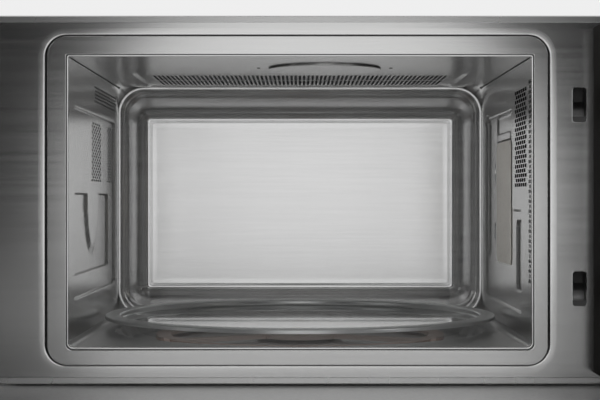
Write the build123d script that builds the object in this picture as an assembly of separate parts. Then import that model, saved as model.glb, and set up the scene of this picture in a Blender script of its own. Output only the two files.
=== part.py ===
"""Built-in microwave oven with a side-hinged door, a stainless cavity and a glass turntable.

All sizes are in millimetres.  The pieces are drawn about the centre of the cavity mouth, with X to the
right, Y into the cabinet and Z up.  They are written about the centre of the four trim screws, on the
cabinet's front face.  The door is drawn shut and written standing open.
"""
from build123d import *
import os

# Cavity mouth and sheet
MOUTH_W = 424.0
MOUTH_H = 267.0
SHEET = 1.0
SEAT_GAP = 0.3
FLOOR_CORNER_R = 6.0
SIDE_DEPTH = 375.0

# Front plate, its bead and the shadow groove round the cavity flange
PLATE_LEFT = -299.5
PLATE_RIGHT = 353.5
PLATE_TOP = 163.5
PLATE_BOTTOM = -159.5
GROOVE_HALF_W = 230.0
GROOVE_TOP = 151.5
GROOVE_BOTTOM = -147.0
GROOVE_R = 19.5
GROOVE_GAP = 1.5
GROOVE_DEPTH = 6.0
BEAD_W = 6.4
BEAD_H = 2.5
FLANGE_TUCK = 8.0

# Trim frame, which screws to the cabinet face
TRIM_SIDE_W = 16.0
TRIM_EDGE_H = 6.0
TRIM_DEPTH = 10.0
TRIM_SCREW_SPAN_X = 670.0
TRIM_SCREW_SPAN_Z = 240.0
TRIM_SCREW_R = 2.2

# Rear pan behind the cavity, drawn to a smaller floor with a raised panel
PAN_DEPTH = 80.0
PAN_MOUTH_R = 29.0
PAN_FLOOR_HALF_W = 188.0
PAN_FLOOR_TOP = 105.0
PAN_FLOOR_BOTTOM = -104.0
PAN_FLOOR_R = 10.0
PANEL_MARGIN = 3.8
PANEL_RISE = 4.0
PANEL_R = 6.0

# Turntable
TABLE_Y = 218.0
TRAY_R = 205.0
TRAY_BASE_R = 172.0
TRAY_WALL = 5.0
TRAY_RIM_RISE = 16.5
TRAY_SIDE_GAP = 7.0
WELL_R = 192.0
WELL_DEPTH = 12.5
ROLLER_R = 5.2
ROLLER_W = 6.0
ROLLER_RUN_R = 157.0
ROLLER_AXLE_R = 1.6
ROLLER_UNDER_GAP = 0.2
RING_INNER_R = 136.0
RING_OUTER_R = 152.0
RING_THICK = 4.0
RING_HUB_R = 45.0
COUPLER_HUB_R = 11.0
COUPLER_STEM_R = 5.0
SHAFT_HOLE_R = 7.0
MOTOR_R = 25.0
MOTOR_H = 10.5
FIT_GAP = 0.05

# Pressed recesses in the side walls
RECESS_DEPTH = 5.0
POCKET_DEPTH = 5.0
PRESS_DRAFT = 2.5
PRESS_R = 7.0

# Door, drawn shut
HINGE_X = -292.0
HINGE_Y = -20.0
DOOR_OPEN_DEG = 110.0
DOOR_TOP = 159.0
DOOR_BOTTOM = -155.0
DOOR_FACE_GAP = 0.5
DOOR_THICK = 40.0
DOOR_GLASS = 4.7
DOOR_COVER = 5.0
DOOR_SIDE_GAP = 1.0
DOOR_OVERHANG = 0.5
WINDOW_X = (-225.0, 190.0)
WINDOW_Z = (-105.0, 110.0)
HANDLE_X = 222.0
HANDLE_R = 9.0
HANDLE_STANDOFF = 34.0
HANDLE_Z = (-110.0, 114.0)
HINGE_PIN_R = 3.0
HINGE_PIN_IN = 14.0
HINGE_LEAF = 3.5

# Latch slots and hooks
SLOT_X = (248.0, 260.7)
SLOT_TOP_Z = (73.0, 104.3)
SLOT_DROP = 167.4
SLOT_R = 2.0
HOOK_W = 7.0
HOOK_REACH = 15.0
LATCH_TRAVEL = 7.0
LEDGE_H = 5.0
LATCH_CLEAR = 1.5

# Control panel to the right of the door
CONTROL_X0 = 267.0
CONTROL_WALL = 2.5
CONTROL_GLASS = 3.0
BUTTON_CLEAR = 0.4
BUTTON_PROUD = 1.5
BUTTON_X = (281.0, 340.0)
STOP_Z = (-118.0, -98.0)
START_Z = (-146.0, -126.0)

# Casing
CASE_LEFT = -293.0
CASE_RIGHT = 347.0
CASE_BACK = 470.0
CASE_TOP = 162.5
BASE_DROP = 0.5
FOOT_H = 8.2
FOOT_R = 14.0

# Places that follow from the driving sizes
HALF_W = MOUTH_W / 2
HALF_H = MOUTH_H / 2
FLOOR_Z = -HALF_H
PAN_Y = SIDE_DEPTH + PAN_DEPTH
WELL_Z = FLOOR_Z - WELL_DEPTH
TRAY_Z = WELL_Z + ROLLER_UNDER_GAP + 2 * ROLLER_R + SEAT_GAP
TRAY_TOP = TRAY_Z + TRAY_RIM_RISE
ROLLER_Z = WELL_Z + ROLLER_UNDER_GAP + ROLLER_R
MOTOR_TOP = WELL_Z - SHEET
BASE_TOP = MOTOR_TOP - MOTOR_H - BASE_DROP
BASE_Z = BASE_TOP - SHEET
TRIM_LEFT = PLATE_LEFT - SEAT_GAP - TRIM_SIDE_W
TRIM_RIGHT = PLATE_RIGHT + SEAT_GAP + TRIM_SIDE_W
TRIM_TOP = PLATE_TOP + SEAT_GAP + TRIM_EDGE_H
TRIM_BOTTOM = min(PLATE_BOTTOM, BASE_Z) - SEAT_GAP - TRIM_EDGE_H
TRIM_MID_X = (TRIM_LEFT + TRIM_RIGHT) / 2
TRIM_MID_Z = (TRIM_TOP + TRIM_BOTTOM) / 2
DOOR_INNER_Y = -BEAD_H - DOOR_FACE_GAP
DOOR_OUTER_Y = DOOR_INNER_Y - DOOR_THICK
FRAME_INNER_Y = DOOR_INNER_Y - DOOR_COVER
GLASS_BACK_Y = DOOR_OUTER_Y + DOOR_GLASS
FRAME_OUTER_Y = GLASS_BACK_Y + SEAT_GAP
DOOR_LEFT = PLATE_LEFT - DOOR_OVERHANG
DOOR_RIGHT = CONTROL_X0 - DOOR_SIDE_GAP
TURNTABLE = Pos(0, TABLE_Y, 0)


def middle(span):
    return (span[0] + span[1]) / 2


def length(span):
    return span[1] - span[0]


def block(x, y, z):
    """Box between two X, two Y and two Z values."""
    return Pos(middle(x), middle(y), middle(z)) * Box(length(x), length(y), length(z))


def grown(span, by):
    return (span[0] - by, span[1] + by)


def upright_face(x, z, radius, y):
    """Rounded rectangle standing across the depth at y."""
    plane = Plane(origin=(middle(x), y, middle(z)), x_dir=(1, 0, 0), z_dir=(0, -1, 0))
    return plane * RectangleRounded(length(x), length(z), radius)


def upright_prism(x, z, radius, y):
    """Rounded rectangular bar along the depth, between two Y values."""
    return extrude(upright_face(x, z, radius, y[0]), amount=length(y), dir=(0, 1, 0))


def side_face(x, y, z, radius):
    """Rounded rectangle standing along a side wall at x."""
    plane = Plane(origin=(x, middle(y), middle(z)), x_dir=(0, 1, 0), z_dir=(1, 0, 0))
    return plane * RectangleRounded(length(y), length(z), radius)


def side_pocket(side, start, depth, y, z, radius):
    """Tapered body of a pocket pressed outwards from a side wall."""
    mouth = side_face(side * start, y, z, radius)
    floor = side_face(side * (start + depth), grown(y, -PRESS_DRAFT), grown(z, -PRESS_DRAFT), radius)
    return loft([mouth, floor])


def press(wall, side, start, depth, y, z, radius=PRESS_R):
    """Press a pocket of one sheet thickness outwards into a side wall."""
    outer = side_pocket(side, start, depth + SHEET, grown(y, SHEET), grown(z, SHEET), radius + SHEET)
    inner = side_pocket(side, start, depth, y, z, radius)
    return wall + outer - inner


def slots(x, first, pitch, counts, slot):
    """Blocks for a field of slots through a side wall, with every second row half a pitch along."""
    found = []
    for row in range(counts[1]):
        odd = row % 2
        z = first[1] + row * pitch[1]
        for column in range(counts[0] - odd):
            y = first[0] + (column + odd / 2) * pitch[0]
            found.append(block(x, (y, y + slot[0]), (z, z + slot[1])))
    return found


def disc(radius, z, y=TABLE_Y, x=0.0):
    """Upright cylinder between two Z values, about the turntable's axis unless told otherwise."""
    return Pos(x, y, middle(z)) * Cylinder(radius, length(z))


def rod_x(radius, x, y, z):
    """Cylinder along X between two X values."""
    return Pos(middle(x), y, z) * Rot(0, 90, 0) * Cylinder(radius, length(x))


def rod_y(radius, y, x, z):
    """Cylinder along Y between two Y values."""
    return Pos(x, middle(y), z) * Rot(90, 0, 0) * Cylinder(radius, length(y))


# Front plate: sheet, raised bead, a lip turned back at the groove, and two latch slots
def slot_span(index):
    return (SLOT_TOP_Z[0] - index * SLOT_DROP, SLOT_TOP_Z[1] - index * SLOT_DROP)


def groove_prism(inset, y):
    """Bar with the groove's rounded outline, drawn in by an inset, between two Y values."""
    x = (-GROOVE_HALF_W + inset, GROOVE_HALF_W - inset)
    z = (GROOVE_BOTTOM + inset, GROOVE_TOP - inset)
    return upright_prism(x, z, GROOVE_R - inset, y)


def front_plate():
    sheet = block((PLATE_LEFT, PLATE_RIGHT), (0, SHEET), (PLATE_BOTTOM, PLATE_TOP))
    bead = groove_prism(-BEAD_W, (-BEAD_H, 0))
    bead = fillet(bead.faces().sort_by(Axis.Y)[0].edges(), BEAD_H * 0.9)
    lip = groove_prism(-SHEET, (0, GROOVE_DEPTH))
    plate = sheet + bead + lip - groove_prism(0, (-2 * BEAD_H, 2 * GROOVE_DEPTH))
    for index in range(2):
        plate -= upright_prism(SLOT_X, slot_span(index), SLOT_R, (-SHEET, 2 * SHEET))
    return plate


# Cavity liner: flange, two side walls, ceiling, floor and rear pan, each its own pressing
def mouth_prism(grow, y):
    """Bar with the mouth's outline, with rounded lower corners, between two Y values."""
    bar = block((-HALF_W - grow, HALF_W + grow), y, (-HALF_H - grow, HALF_H + grow))
    low = bar.edges().filter_by(Axis.Y).sort_by(Axis.Z)[:2]
    return fillet(low, FLOOR_CORNER_R + grow)


def cavity_flange():
    face = groove_prism(GROOVE_GAP, (0, GROOVE_DEPTH + SHEET))
    hollow = groove_prism(GROOVE_GAP + SHEET, (SHEET, GROOVE_DEPTH + 2 * SHEET))
    tuck = groove_prism(-FLANGE_TUCK, (GROOVE_DEPTH, GROOVE_DEPTH + SHEET))
    return face + tuck - hollow - mouth_prism(0, (-SHEET, 2 * SHEET))


WALL_Z = (FLOOR_Z + FLOOR_CORNER_R, HALF_H)
WALL_Y = (SHEET, SIDE_DEPTH)
CUT_X = HALF_W + RECESS_DEPTH + POCKET_DEPTH + 4 * SHEET


def side_sheet(side):
    x = sorted((side * HALF_W, side * (HALF_W + SHEET)))
    return block(x, WALL_Y, WALL_Z)


def cut_span(side):
    return sorted((side * (HALF_W - SHEET), side * CUT_X))


# Left wall: a wide recess, a deeper pocket with a tongue from its top, and three fields of slots
LEFT_RECESS_Y = (42.0, SIDE_DEPTH - 40.0)
LEFT_RECESS_Z = (-92.0, 90.0)
LEFT_POCKET_Y = (50.0, LEFT_RECESS_Y[1] - 45.0)
LEFT_POCKET_Z = (-70.0, 8.5)
TONGUE_TOP_Y = (129.0, 217.0)
TONGUE_TIP = (168.0, -50.0)
TONGUE_TIP_W = 14.0
UPPER_FIELD_AT = (SIDE_DEPTH - 198.0, 103.0)
UPPER_FIELD_PITCH = (9.2, 3.6)
UPPER_FIELD_COUNTS = (19, 5)
UPPER_FIELD_SLOT = (6.6, 1.9)
LAMP_FIELD_AT = (159.0, 21.5)
LAMP_FIELD_PITCH = (15.4, 3.1)
LAMP_FIELD_COUNTS = (5, 20)
LAMP_FIELD_SLOT = (11.0, 1.7)
REAR_FIELD_AT = (LEFT_RECESS_Y[1] - 54.0, 21.5)
REAR_FIELD_PITCH = (14.0, 3.1)
REAR_FIELD_COUNTS = (3, 20)


def tongue():
    """Tapered tab that hangs into the left pocket at the level of the recess."""
    x0 = -(HALF_W + RECESS_DEPTH + POCKET_DEPTH + SHEET)
    y0, y1 = TONGUE_TOP_Y
    top = LEFT_POCKET_Z[1] + SHEET
    tip_y, tip_z = TONGUE_TIP
    half = TONGUE_TIP_W / 2
    outline = [(x0, y0, top), (x0, y1, top), (x0, tip_y + half, tip_z), (x0, tip_y - half, tip_z)]
    face = Face(Wire.make_polygon(outline, close=True))
    return extrude(face, amount=POCKET_DEPTH + SHEET, dir=(1, 0, 0))


def cavity_left_wall():
    recess_x = HALF_W + RECESS_DEPTH
    wall = press(side_sheet(-1), -1, HALF_W, RECESS_DEPTH, LEFT_RECESS_Y, LEFT_RECESS_Z)
    wall = press(wall, -1, recess_x, POCKET_DEPTH, LEFT_POCKET_Y, LEFT_POCKET_Z)
    wall += tongue()
    x = cut_span(-1)
    fields = slots(x, UPPER_FIELD_AT, UPPER_FIELD_PITCH, UPPER_FIELD_COUNTS, UPPER_FIELD_SLOT)
    fields += slots(x, LAMP_FIELD_AT, LAMP_FIELD_PITCH, LAMP_FIELD_COUNTS, LAMP_FIELD_SLOT)
    fields += slots(x, REAR_FIELD_AT, REAR_FIELD_PITCH, REAR_FIELD_COUNTS, LAMP_FIELD_SLOT)
    return wall - fields


# Right wall: a recess round the wave guide port, a rear channel, a front pocket and two slot fields
RIGHT_RECESS_Y = (120.0, SIDE_DEPTH - 43.0)
RIGHT_RECESS_Z = (-107.0, 104.0)
RIGHT_FOOT_Y = (62.0, 140.0)
RIGHT_FOOT_Z = (-107.0, -8.0)
CHANNEL_Y = (RIGHT_RECESS_Y[1] - 37.0, RIGHT_RECESS_Y[1] - 3.0)
CHANNEL_Z = (-61.0, 96.0)
FRONT_POCKET_Y = (66.0, 104.0)
FRONT_POCKET_Z = (-86.0, -18.0)
COVER_Y = (134.5, 238.6)
COVER_Z = (-64.0, 63.0)
COVER_SNIP = 4.0
PORT_Y = (150.0, 223.0)
PORT_Z = (-45.0, 45.0)
CLIP_Y = (244.0, 249.0)
CLIP_Z = ((22.5, 41.0), (-41.5, -22.7))
DUCT_FIELD_AT = (39.0, 15.0)
DUCT_FIELD_PITCH = (12.5, 4.5)
DUCT_FIELD_COUNTS = (6, 21)
DUCT_FIELD_SLOT = (8.5, 3.0)
FRONT_FIELD_AT = (10.0, -74.5)
FRONT_FIELD_PITCH = (9.5, 4.6)
FRONT_FIELD_COUNTS = (2, 41)
FRONT_FIELD_SLOT = (5.5, 2.4)


def cavity_right_wall():
    deep = HALF_W + RECESS_DEPTH
    wall = press(side_sheet(1), 1, HALF_W, RECESS_DEPTH, RIGHT_FOOT_Y, RIGHT_FOOT_Z)
    wall = press(wall, 1, HALF_W, RECESS_DEPTH, RIGHT_RECESS_Y, RIGHT_RECESS_Z)
    wall -= side_pocket(1, HALF_W, RECESS_DEPTH, RIGHT_FOOT_Y, RIGHT_FOOT_Z, PRESS_R)
    wall = press(wall, 1, deep, POCKET_DEPTH, CHANNEL_Y, CHANNEL_Z)
    wall = press(wall, 1, deep, POCKET_DEPTH, FRONT_POCKET_Y, FRONT_POCKET_Z)
    x = cut_span(1)
    fields = slots(x, DUCT_FIELD_AT, DUCT_FIELD_PITCH, DUCT_FIELD_COUNTS, DUCT_FIELD_SLOT)
    fields += slots(x, FRONT_FIELD_AT, FRONT_FIELD_PITCH, FRONT_FIELD_COUNTS, FRONT_FIELD_SLOT)
    fields.append(block(x, PORT_Y, PORT_Z))
    fields += [block(x, CLIP_Y, z) for z in CLIP_Z]
    return wall - fields


def waveguide_cover():
    """Mica sheet over the wave guide port, with small snipped corners."""
    back = HALF_W + RECESS_DEPTH
    cover = block((back - SHEET, back), COVER_Y, COVER_Z)
    return chamfer(cover.edges().filter_by(Axis.X), COVER_SNIP)


# Ceiling: faint pressed rectangle, two rows of grille slots and a round seat with three clip slots
GRILLE_HALF_X = 157.0
GRILLE_BACK_MARGIN = 14.0
GRILLE_ROW_GAP = 7.0
GRILLE_REAR_L = 58.0
GRILLE_FRONT_L = 60.0
GRILLE_COUNT = 40
GRILLE_SLOT_W = 4.0
EMBOSS_X = (-176.0, 176.0)
EMBOSS_BACK_MARGIN = 3.0
EMBOSS_L = 181.0
EMBOSS_RISE = 2.0
DISC_X = 24.5
DISC_Y = 127.0
DISC_R = 56.0
DISC_DROP = 6.0
DISC_CLIP_R = 66.0
CLIP_SLOT = (10.0, 3.0)
EMBOSS_Y = (SIDE_DEPTH - EMBOSS_BACK_MARGIN - EMBOSS_L, SIDE_DEPTH - EMBOSS_BACK_MARGIN)
REAR_ROW_Y = (SIDE_DEPTH - GRILLE_BACK_MARGIN - GRILLE_REAR_L, SIDE_DEPTH - GRILLE_BACK_MARGIN)
FRONT_ROW_Y = (REAR_ROW_Y[0] - GRILLE_ROW_GAP - GRILLE_FRONT_L, REAR_ROW_Y[0] - GRILLE_ROW_GAP)


def ceiling_pad(inset, z, taper_top):
    """Low tapered pad of the pressed rectangle on the ceiling."""
    low = Plane(origin=(middle(EMBOSS_X), middle(EMBOSS_Y), z[0]))
    high = Plane(origin=(middle(EMBOSS_X), middle(EMBOSS_Y), z[1]))
    wide = RectangleRounded(length(EMBOSS_X) - 2 * inset, length(EMBOSS_Y) - 2 * inset, PRESS_R)
    narrow = RectangleRounded(
        length(EMBOSS_X) - 2 * inset - taper_top, length(EMBOSS_Y) - 2 * inset - taper_top, PRESS_R
    )
    return loft([low * wide, high * narrow])


def cavity_ceiling():
    edge = HALF_W + SHEET
    sheet = block((-edge, edge), WALL_Y, (HALF_H, HALF_H + SHEET))
    draft = 2 * EMBOSS_RISE
    sheet += ceiling_pad(0.0, (HALF_H, HALF_H + SHEET + EMBOSS_RISE), draft)
    sheet -= ceiling_pad(SHEET, (HALF_H, HALF_H + EMBOSS_RISE), draft)
    cut_z = (HALF_H - SHEET, HALF_H + 4 * SHEET + EMBOSS_RISE)
    pitch = 2 * GRILLE_HALF_X / (GRILLE_COUNT - 1)
    cuts = []
    for index in range(GRILLE_COUNT):
        x = -GRILLE_HALF_X + index * pitch
        span = (x - GRILLE_SLOT_W / 2, x + GRILLE_SLOT_W / 2)
        cuts += [block(span, y, cut_z) for y in (FRONT_ROW_Y, REAR_ROW_Y)]
    for angle in (0, 180, 270):
        turn = Pos(DISC_X, DISC_Y, HALF_H) * Rot(0, 0, angle) * Pos(DISC_CLIP_R, 0, 0)
        cuts.append(turn * Box(CLIP_SLOT[1], CLIP_SLOT[0], 4 * SHEET))
    return sheet - cuts


def ceiling_disc():
    """Shallow round cover under the ceiling, with a bevelled edge."""
    cover = disc(DISC_R, (HALF_H - DISC_DROP, HALF_H), DISC_Y, DISC_X)
    low = cover.faces().sort_by(Axis.Z)[0].edges()
    return chamfer(low, DISC_DROP * 0.6)


# Floor: rounded up into the side walls, with a round well and a half disc that reaches into the pan
SCOOP_R = TRAY_R + TRAY_SIDE_GAP
BEHIND_WALLS = ((-MOUTH_W, MOUTH_W), (SIDE_DEPTH, PAN_Y), (2 * FLOOR_Z, PAN_FLOOR_BOTTOM - SHEET))


def cavity_floor():
    below_walls = block((-MOUTH_W, MOUTH_W), WALL_Y, (2 * FLOOR_Z, WALL_Z[0]))
    floor = mouth_prism(SHEET, WALL_Y) & below_walls
    floor -= mouth_prism(0, (0, SIDE_DEPTH + SHEET))
    rear = disc(SCOOP_R - SEAT_GAP, (FLOOR_Z - SHEET, FLOOR_Z)) & block(*BEHIND_WALLS)
    floor = floor + rear + disc(WELL_R + SHEET, (WELL_Z - SHEET, FLOOR_Z))
    floor -= disc(WELL_R, (WELL_Z, FLOOR_Z + SHEET))
    return floor - disc(SHAFT_HOLE_R, (WELL_Z - 2 * SHEET, WELL_Z + SHEET))


# Rear pan: drawn cup with a raised panel on its floor and a scoop that clears the turntable
def pan_cup(grow):
    x = (-HALF_W - grow, HALF_W + grow)
    z = (-HALF_H - grow, HALF_H + grow)
    mouth = upright_face(x, z, PAN_MOUTH_R + grow, SIDE_DEPTH)
    x = (-PAN_FLOOR_HALF_W - grow, PAN_FLOOR_HALF_W + grow)
    z = (PAN_FLOOR_BOTTOM - grow, PAN_FLOOR_TOP + grow)
    return loft([mouth, upright_face(x, z, PAN_FLOOR_R + grow, PAN_Y + grow)])


def pan_panel(inset, y):
    reach = PAN_FLOOR_HALF_W - PANEL_MARGIN - inset
    z = (PAN_FLOOR_BOTTOM + PANEL_MARGIN + inset, PAN_FLOOR_TOP - PANEL_MARGIN - inset)
    return upright_prism((-reach, reach), z, PANEL_R - inset, y)


def cavity_back_pan():
    edge_x = HALF_W + SHEET
    edge_z = HALF_H + SHEET
    rim = block((-edge_x, edge_x), (SIDE_DEPTH, SIDE_DEPTH + SHEET), (-edge_z, edge_z))
    scoop_z = (FLOOR_Z, PAN_FLOOR_BOTTOM - SHEET)
    scoop = disc(SCOOP_R + SHEET, scoop_z) & block(*BEHIND_WALLS)
    pan = rim + pan_cup(SHEET) + scoop - pan_cup(0)
    pan -= disc(SCOOP_R, (FLOOR_Z - 2 * SHEET, scoop_z[1])) & block(*BEHIND_WALLS)
    panel = pan_panel(0, (PAN_Y - PANEL_RISE, PAN_Y + SHEET / 2))
    panel = fillet(panel.faces().sort_by(Axis.Y)[0].edges(), PANEL_RISE * 0.7)
    return pan + panel - pan_panel(SHEET, (PAN_Y - PANEL_RISE + SHEET, PAN_Y + 2 * SHEET))


# Turntable: glass tray on a three-lobed coupler, a roller ring and its three rollers
LOBE_R = 5.0
LOBE_AT = 8.0
LOBE_RISE = 1.7
RIM_ROUND = 1.4
SPOKE_W = 14.0
AXLE_HEAD = 1.2


def coupler_lobes(grow, z):
    lobes = disc(LOBE_R + grow, z)
    for angle in range(0, 360, 120):
        place = TURNTABLE * Rot(0, 0, angle) * Pos(LOBE_AT, 0, middle(z))
        lobes += place * Cylinder(LOBE_R + grow, length(z))
    return lobes


def glass_tray():
    floor_top = TRAY_Z + TRAY_WALL
    lip = TRAY_TOP - TRAY_WALL
    profile = Polygon(
        (0, TRAY_Z),
        (TRAY_BASE_R, TRAY_Z),
        (TRAY_R - TRAY_WALL, lip),
        (TRAY_R, lip + TRAY_WALL * 0.3),
        (TRAY_R, TRAY_TOP),
        (TRAY_R - TRAY_WALL, TRAY_TOP),
        (TRAY_BASE_R + TRAY_WALL * 0.8, floor_top + TRAY_WALL * 0.3),
        (TRAY_BASE_R, floor_top),
        (0, floor_top),
        align=None,
    )
    tray = revolve(Plane.XZ * profile, Axis.Z)
    rim = tray.edges().filter_by(GeomType.CIRCLE).sort_by(SortBy.RADIUS)[-2:]
    tray = TURNTABLE * fillet(rim, RIM_ROUND)
    return tray - coupler_lobes(SEAT_GAP, (TRAY_Z - SHEET, TRAY_Z + LOBE_RISE + SEAT_GAP))


def drive_coupler():
    hub_z = (ROLLER_Z - RING_THICK / 2, TRAY_Z)
    stem = disc(COUPLER_STEM_R, (MOTOR_TOP + SEAT_GAP, hub_z[0]))
    return stem + disc(COUPLER_HUB_R, hub_z) + coupler_lobes(0, (hub_z[1] - SHEET, TRAY_Z + LOBE_RISE))


def roller_ring():
    z = (ROLLER_Z - RING_THICK / 2, ROLLER_Z + RING_THICK / 2)
    ring = disc(RING_OUTER_R, z) - disc(RING_INNER_R, z)
    ring += disc(RING_HUB_R, z)
    axle = (RING_OUTER_R - SHEET, ROLLER_RUN_R + ROLLER_W / 2 + SEAT_GAP + AXLE_HEAD)
    head = (axle[1] - AXLE_HEAD, axle[1])
    for angle in range(90, 450, 120):
        turn = TURNTABLE * Rot(0, 0, angle)
        ring += turn * block((RING_HUB_R - SHEET, RING_INNER_R + SHEET), (-SPOKE_W / 2, SPOKE_W / 2), z)
        ring += turn * rod_x(ROLLER_AXLE_R, axle, 0, ROLLER_Z)
        ring += turn * rod_x(ROLLER_AXLE_R + SHEET, head, 0, ROLLER_Z)
    return ring - disc(COUPLER_HUB_R + SHEET, grown(z, SHEET))


def roller(index):
    span = (ROLLER_RUN_R - ROLLER_W / 2, ROLLER_RUN_R + ROLLER_W / 2)
    wheel = rod_x(ROLLER_R, span, 0, ROLLER_Z)
    wheel = fillet(wheel.edges(), ROLLER_R * 0.15)
    wheel -= rod_x(ROLLER_AXLE_R + FIT_GAP, grown(span, SHEET), 0, ROLLER_Z)
    return TURNTABLE * Rot(0, 0, 90 + 120 * index) * wheel


MOTOR_EAR = (66.0, 12.0, 1.5)
MOTOR_PLUG_W = 14.0
MOTOR_PLUG_OUT = 9.0


def turntable_motor():
    body = disc(MOTOR_R, (MOTOR_TOP - MOTOR_H, MOTOR_TOP))
    ears = Pos(0, TABLE_Y, MOTOR_TOP - MOTOR_EAR[2] / 2) * Box(*MOTOR_EAR)
    plug_z = (MOTOR_TOP - MOTOR_H, MOTOR_TOP - MOTOR_H / 4)
    edge = TABLE_Y - MOTOR_R
    plug = block((-MOTOR_PLUG_W / 2, MOTOR_PLUG_W / 2), (edge - MOTOR_PLUG_OUT, edge + 2 * SHEET), plug_z)
    return body + ears + plug


# Casing: side panels, top cover, base plate, rear panel and feet
VENT_SLOT = (30.0, 4.0)
VENT_PITCH = (40.0, 9.0)
VENT_INSET = 24.0
LEFT_VENTS = (4, 4)
RIGHT_VENTS = (4, 8)
TOP_VENTS = (5, 6)
BASE_VENTS = (3, 8)
FAN_VENTS = (3, 9)
CASE_Y = (SHEET, CASE_BACK)
FOOT_INSET = 40.0


def vent_columns(origin, counts, make):
    """Blocks of a vent field, laid out from its first corner by a function of two places."""
    found = []
    for row in range(counts[1]):
        for column in range(counts[0]):
            u = origin[0] + column * VENT_PITCH[0]
            v = origin[1] + row * VENT_PITCH[1]
            found.append(make((u, u + VENT_SLOT[0]), (v, v + VENT_SLOT[1])))
    return found


def side_panel(x, vents):
    panel = block(x, CASE_Y, (BASE_Z, CASE_TOP - SHEET))
    field = [count * step for count, step in zip(vents, VENT_PITCH)]
    first = (CASE_BACK - VENT_INSET - field[0], CASE_TOP - VENT_INSET - field[1])
    return panel - vent_columns(first, vents, lambda u, v: block(grown(x, SHEET), u, v))


def top_cover():
    z = (CASE_TOP - SHEET, CASE_TOP)
    cover = block((CASE_LEFT, CASE_RIGHT), CASE_Y, z)
    first = (CASE_LEFT + VENT_INSET, CASE_BACK - VENT_INSET - TOP_VENTS[1] * VENT_PITCH[1])
    return cover - vent_columns(first, TOP_VENTS, lambda u, v: block(u, v, grown(z, SHEET)))


def base_plate():
    z = (BASE_Z, BASE_TOP)
    plate = block((CASE_LEFT + SHEET, CASE_RIGHT - SHEET), CASE_Y, z)
    first = (HALF_W + VENT_INSET / 2, CASE_BACK / 2)
    return plate - vent_columns(first, BASE_VENTS, lambda u, v: block(u, v, grown(z, SHEET)))


SCREW_R = 1.6
SCREW_HEAD_R = 3.6
SCREW_HEAD_H = 2.2
SCREW_LENGTH = 6.0
SCREW_INSET = 12.0
SCREW_CROSS = 0.9
GLAND_X = CASE_RIGHT - 47.0
GLAND_Z = -118.0
GLAND_R = 10.0
GLAND_BORE_R = 4.2
GLAND_OUT = 14.0
GLAND_IN = 6.0
GLAND_COLLAR_W = 3.0
GLAND_COLLAR_H = 2.5


def screw_places():
    """Places of the rear panel's screws, along its upper and lower edges."""
    left = CASE_LEFT + SCREW_INSET
    right = CASE_RIGHT - SCREW_INSET
    across = [left + (right - left) * step / 3 for step in range(4)]
    return [(x, z) for x in across for z in (BASE_TOP + SCREW_INSET, CASE_TOP - SCREW_INSET)]


def rear_panel():
    panel = block(
        (CASE_LEFT + SHEET, CASE_RIGHT - SHEET), (CASE_BACK - SHEET, CASE_BACK), (BASE_TOP, CASE_TOP - SHEET)
    )
    y = (CASE_BACK - 2 * SHEET, CASE_BACK + SHEET)
    half = [((count - 1) * step + slot) / 2 for count, step, slot in zip(FAN_VENTS, VENT_PITCH, VENT_SLOT)]
    panel -= vent_columns((FAN_X - half[0], FAN_Z - half[1]), FAN_VENTS, lambda u, v: block(u, y, v))
    panel -= [rod_y(SCREW_R + FIT_GAP, y, *place) for place in screw_places()]
    return panel - rod_y(GLAND_R - SHEET + FIT_GAP, y, GLAND_X, GLAND_Z)


def panel_screws():
    screws = []
    for x, z in screw_places():
        head = rod_y(SCREW_HEAD_R, (CASE_BACK, CASE_BACK + SCREW_HEAD_H), x, z)
        head = fillet(head.faces().sort_by(Axis.Y)[-1].edges(), SCREW_HEAD_H * 0.45)
        for cross in (
            Box(SCREW_HEAD_R, SCREW_HEAD_H, SCREW_CROSS),
            Box(SCREW_CROSS, SCREW_HEAD_H, SCREW_HEAD_R),
        ):
            head -= Pos(x, CASE_BACK + SCREW_HEAD_H, z) * cross
        screws.append(head + rod_y(SCREW_R, (CASE_BACK - SCREW_LENGTH, CASE_BACK), x, z))
    return Compound(screws)


def mains_gland():
    """Bush in the rear panel where the supply lead would enter."""
    collar = rod_y(GLAND_R + GLAND_COLLAR_W, (CASE_BACK, CASE_BACK + GLAND_COLLAR_H), GLAND_X, GLAND_Z)
    neck_y = (CASE_BACK - GLAND_IN, CASE_BACK + GLAND_OUT)
    neck = rod_y(GLAND_R - SHEET, neck_y, GLAND_X, GLAND_Z)
    neck = fillet(neck.faces().sort_by(Axis.Y)[-1].edges(), SHEET)
    return collar + neck - rod_y(GLAND_BORE_R, grown(neck_y, SHEET), GLAND_X, GLAND_Z)


def feet():
    z = (BASE_Z - FOOT_H, BASE_Z)
    pads = []
    for x in (CASE_LEFT + FOOT_INSET, CASE_RIGHT - FOOT_INSET):
        for y in (FOOT_INSET, CASE_BACK - FOOT_INSET):
            pad = disc(FOOT_R, z, y, x)
            pads.append(chamfer(pad.faces().sort_by(Axis.Z)[0].edges(), FOOT_H / 4))
    return Compound(pads)


def trim_frame():
    y = (0.0, TRIM_DEPTH)
    frame = block((TRIM_LEFT, TRIM_RIGHT), y, (TRIM_BOTTOM, TRIM_TOP))
    front = frame.faces().sort_by(Axis.Y)[0].edges()
    frame = chamfer(front, SHEET)
    inner_z = (TRIM_BOTTOM + TRIM_EDGE_H, TRIM_TOP - TRIM_EDGE_H)
    frame -= block((TRIM_LEFT + TRIM_SIDE_W, TRIM_RIGHT - TRIM_SIDE_W), grown(y, SHEET), inner_z)
    for x in (TRIM_MID_X - TRIM_SCREW_SPAN_X / 2, TRIM_MID_X + TRIM_SCREW_SPAN_X / 2):
        for z in (TRIM_MID_Z - TRIM_SCREW_SPAN_Z / 2, TRIM_MID_Z + TRIM_SCREW_SPAN_Z / 2):
            frame -= rod_y(TRIM_SCREW_R, grown(y, SHEET), x, z)
    return frame


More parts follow.
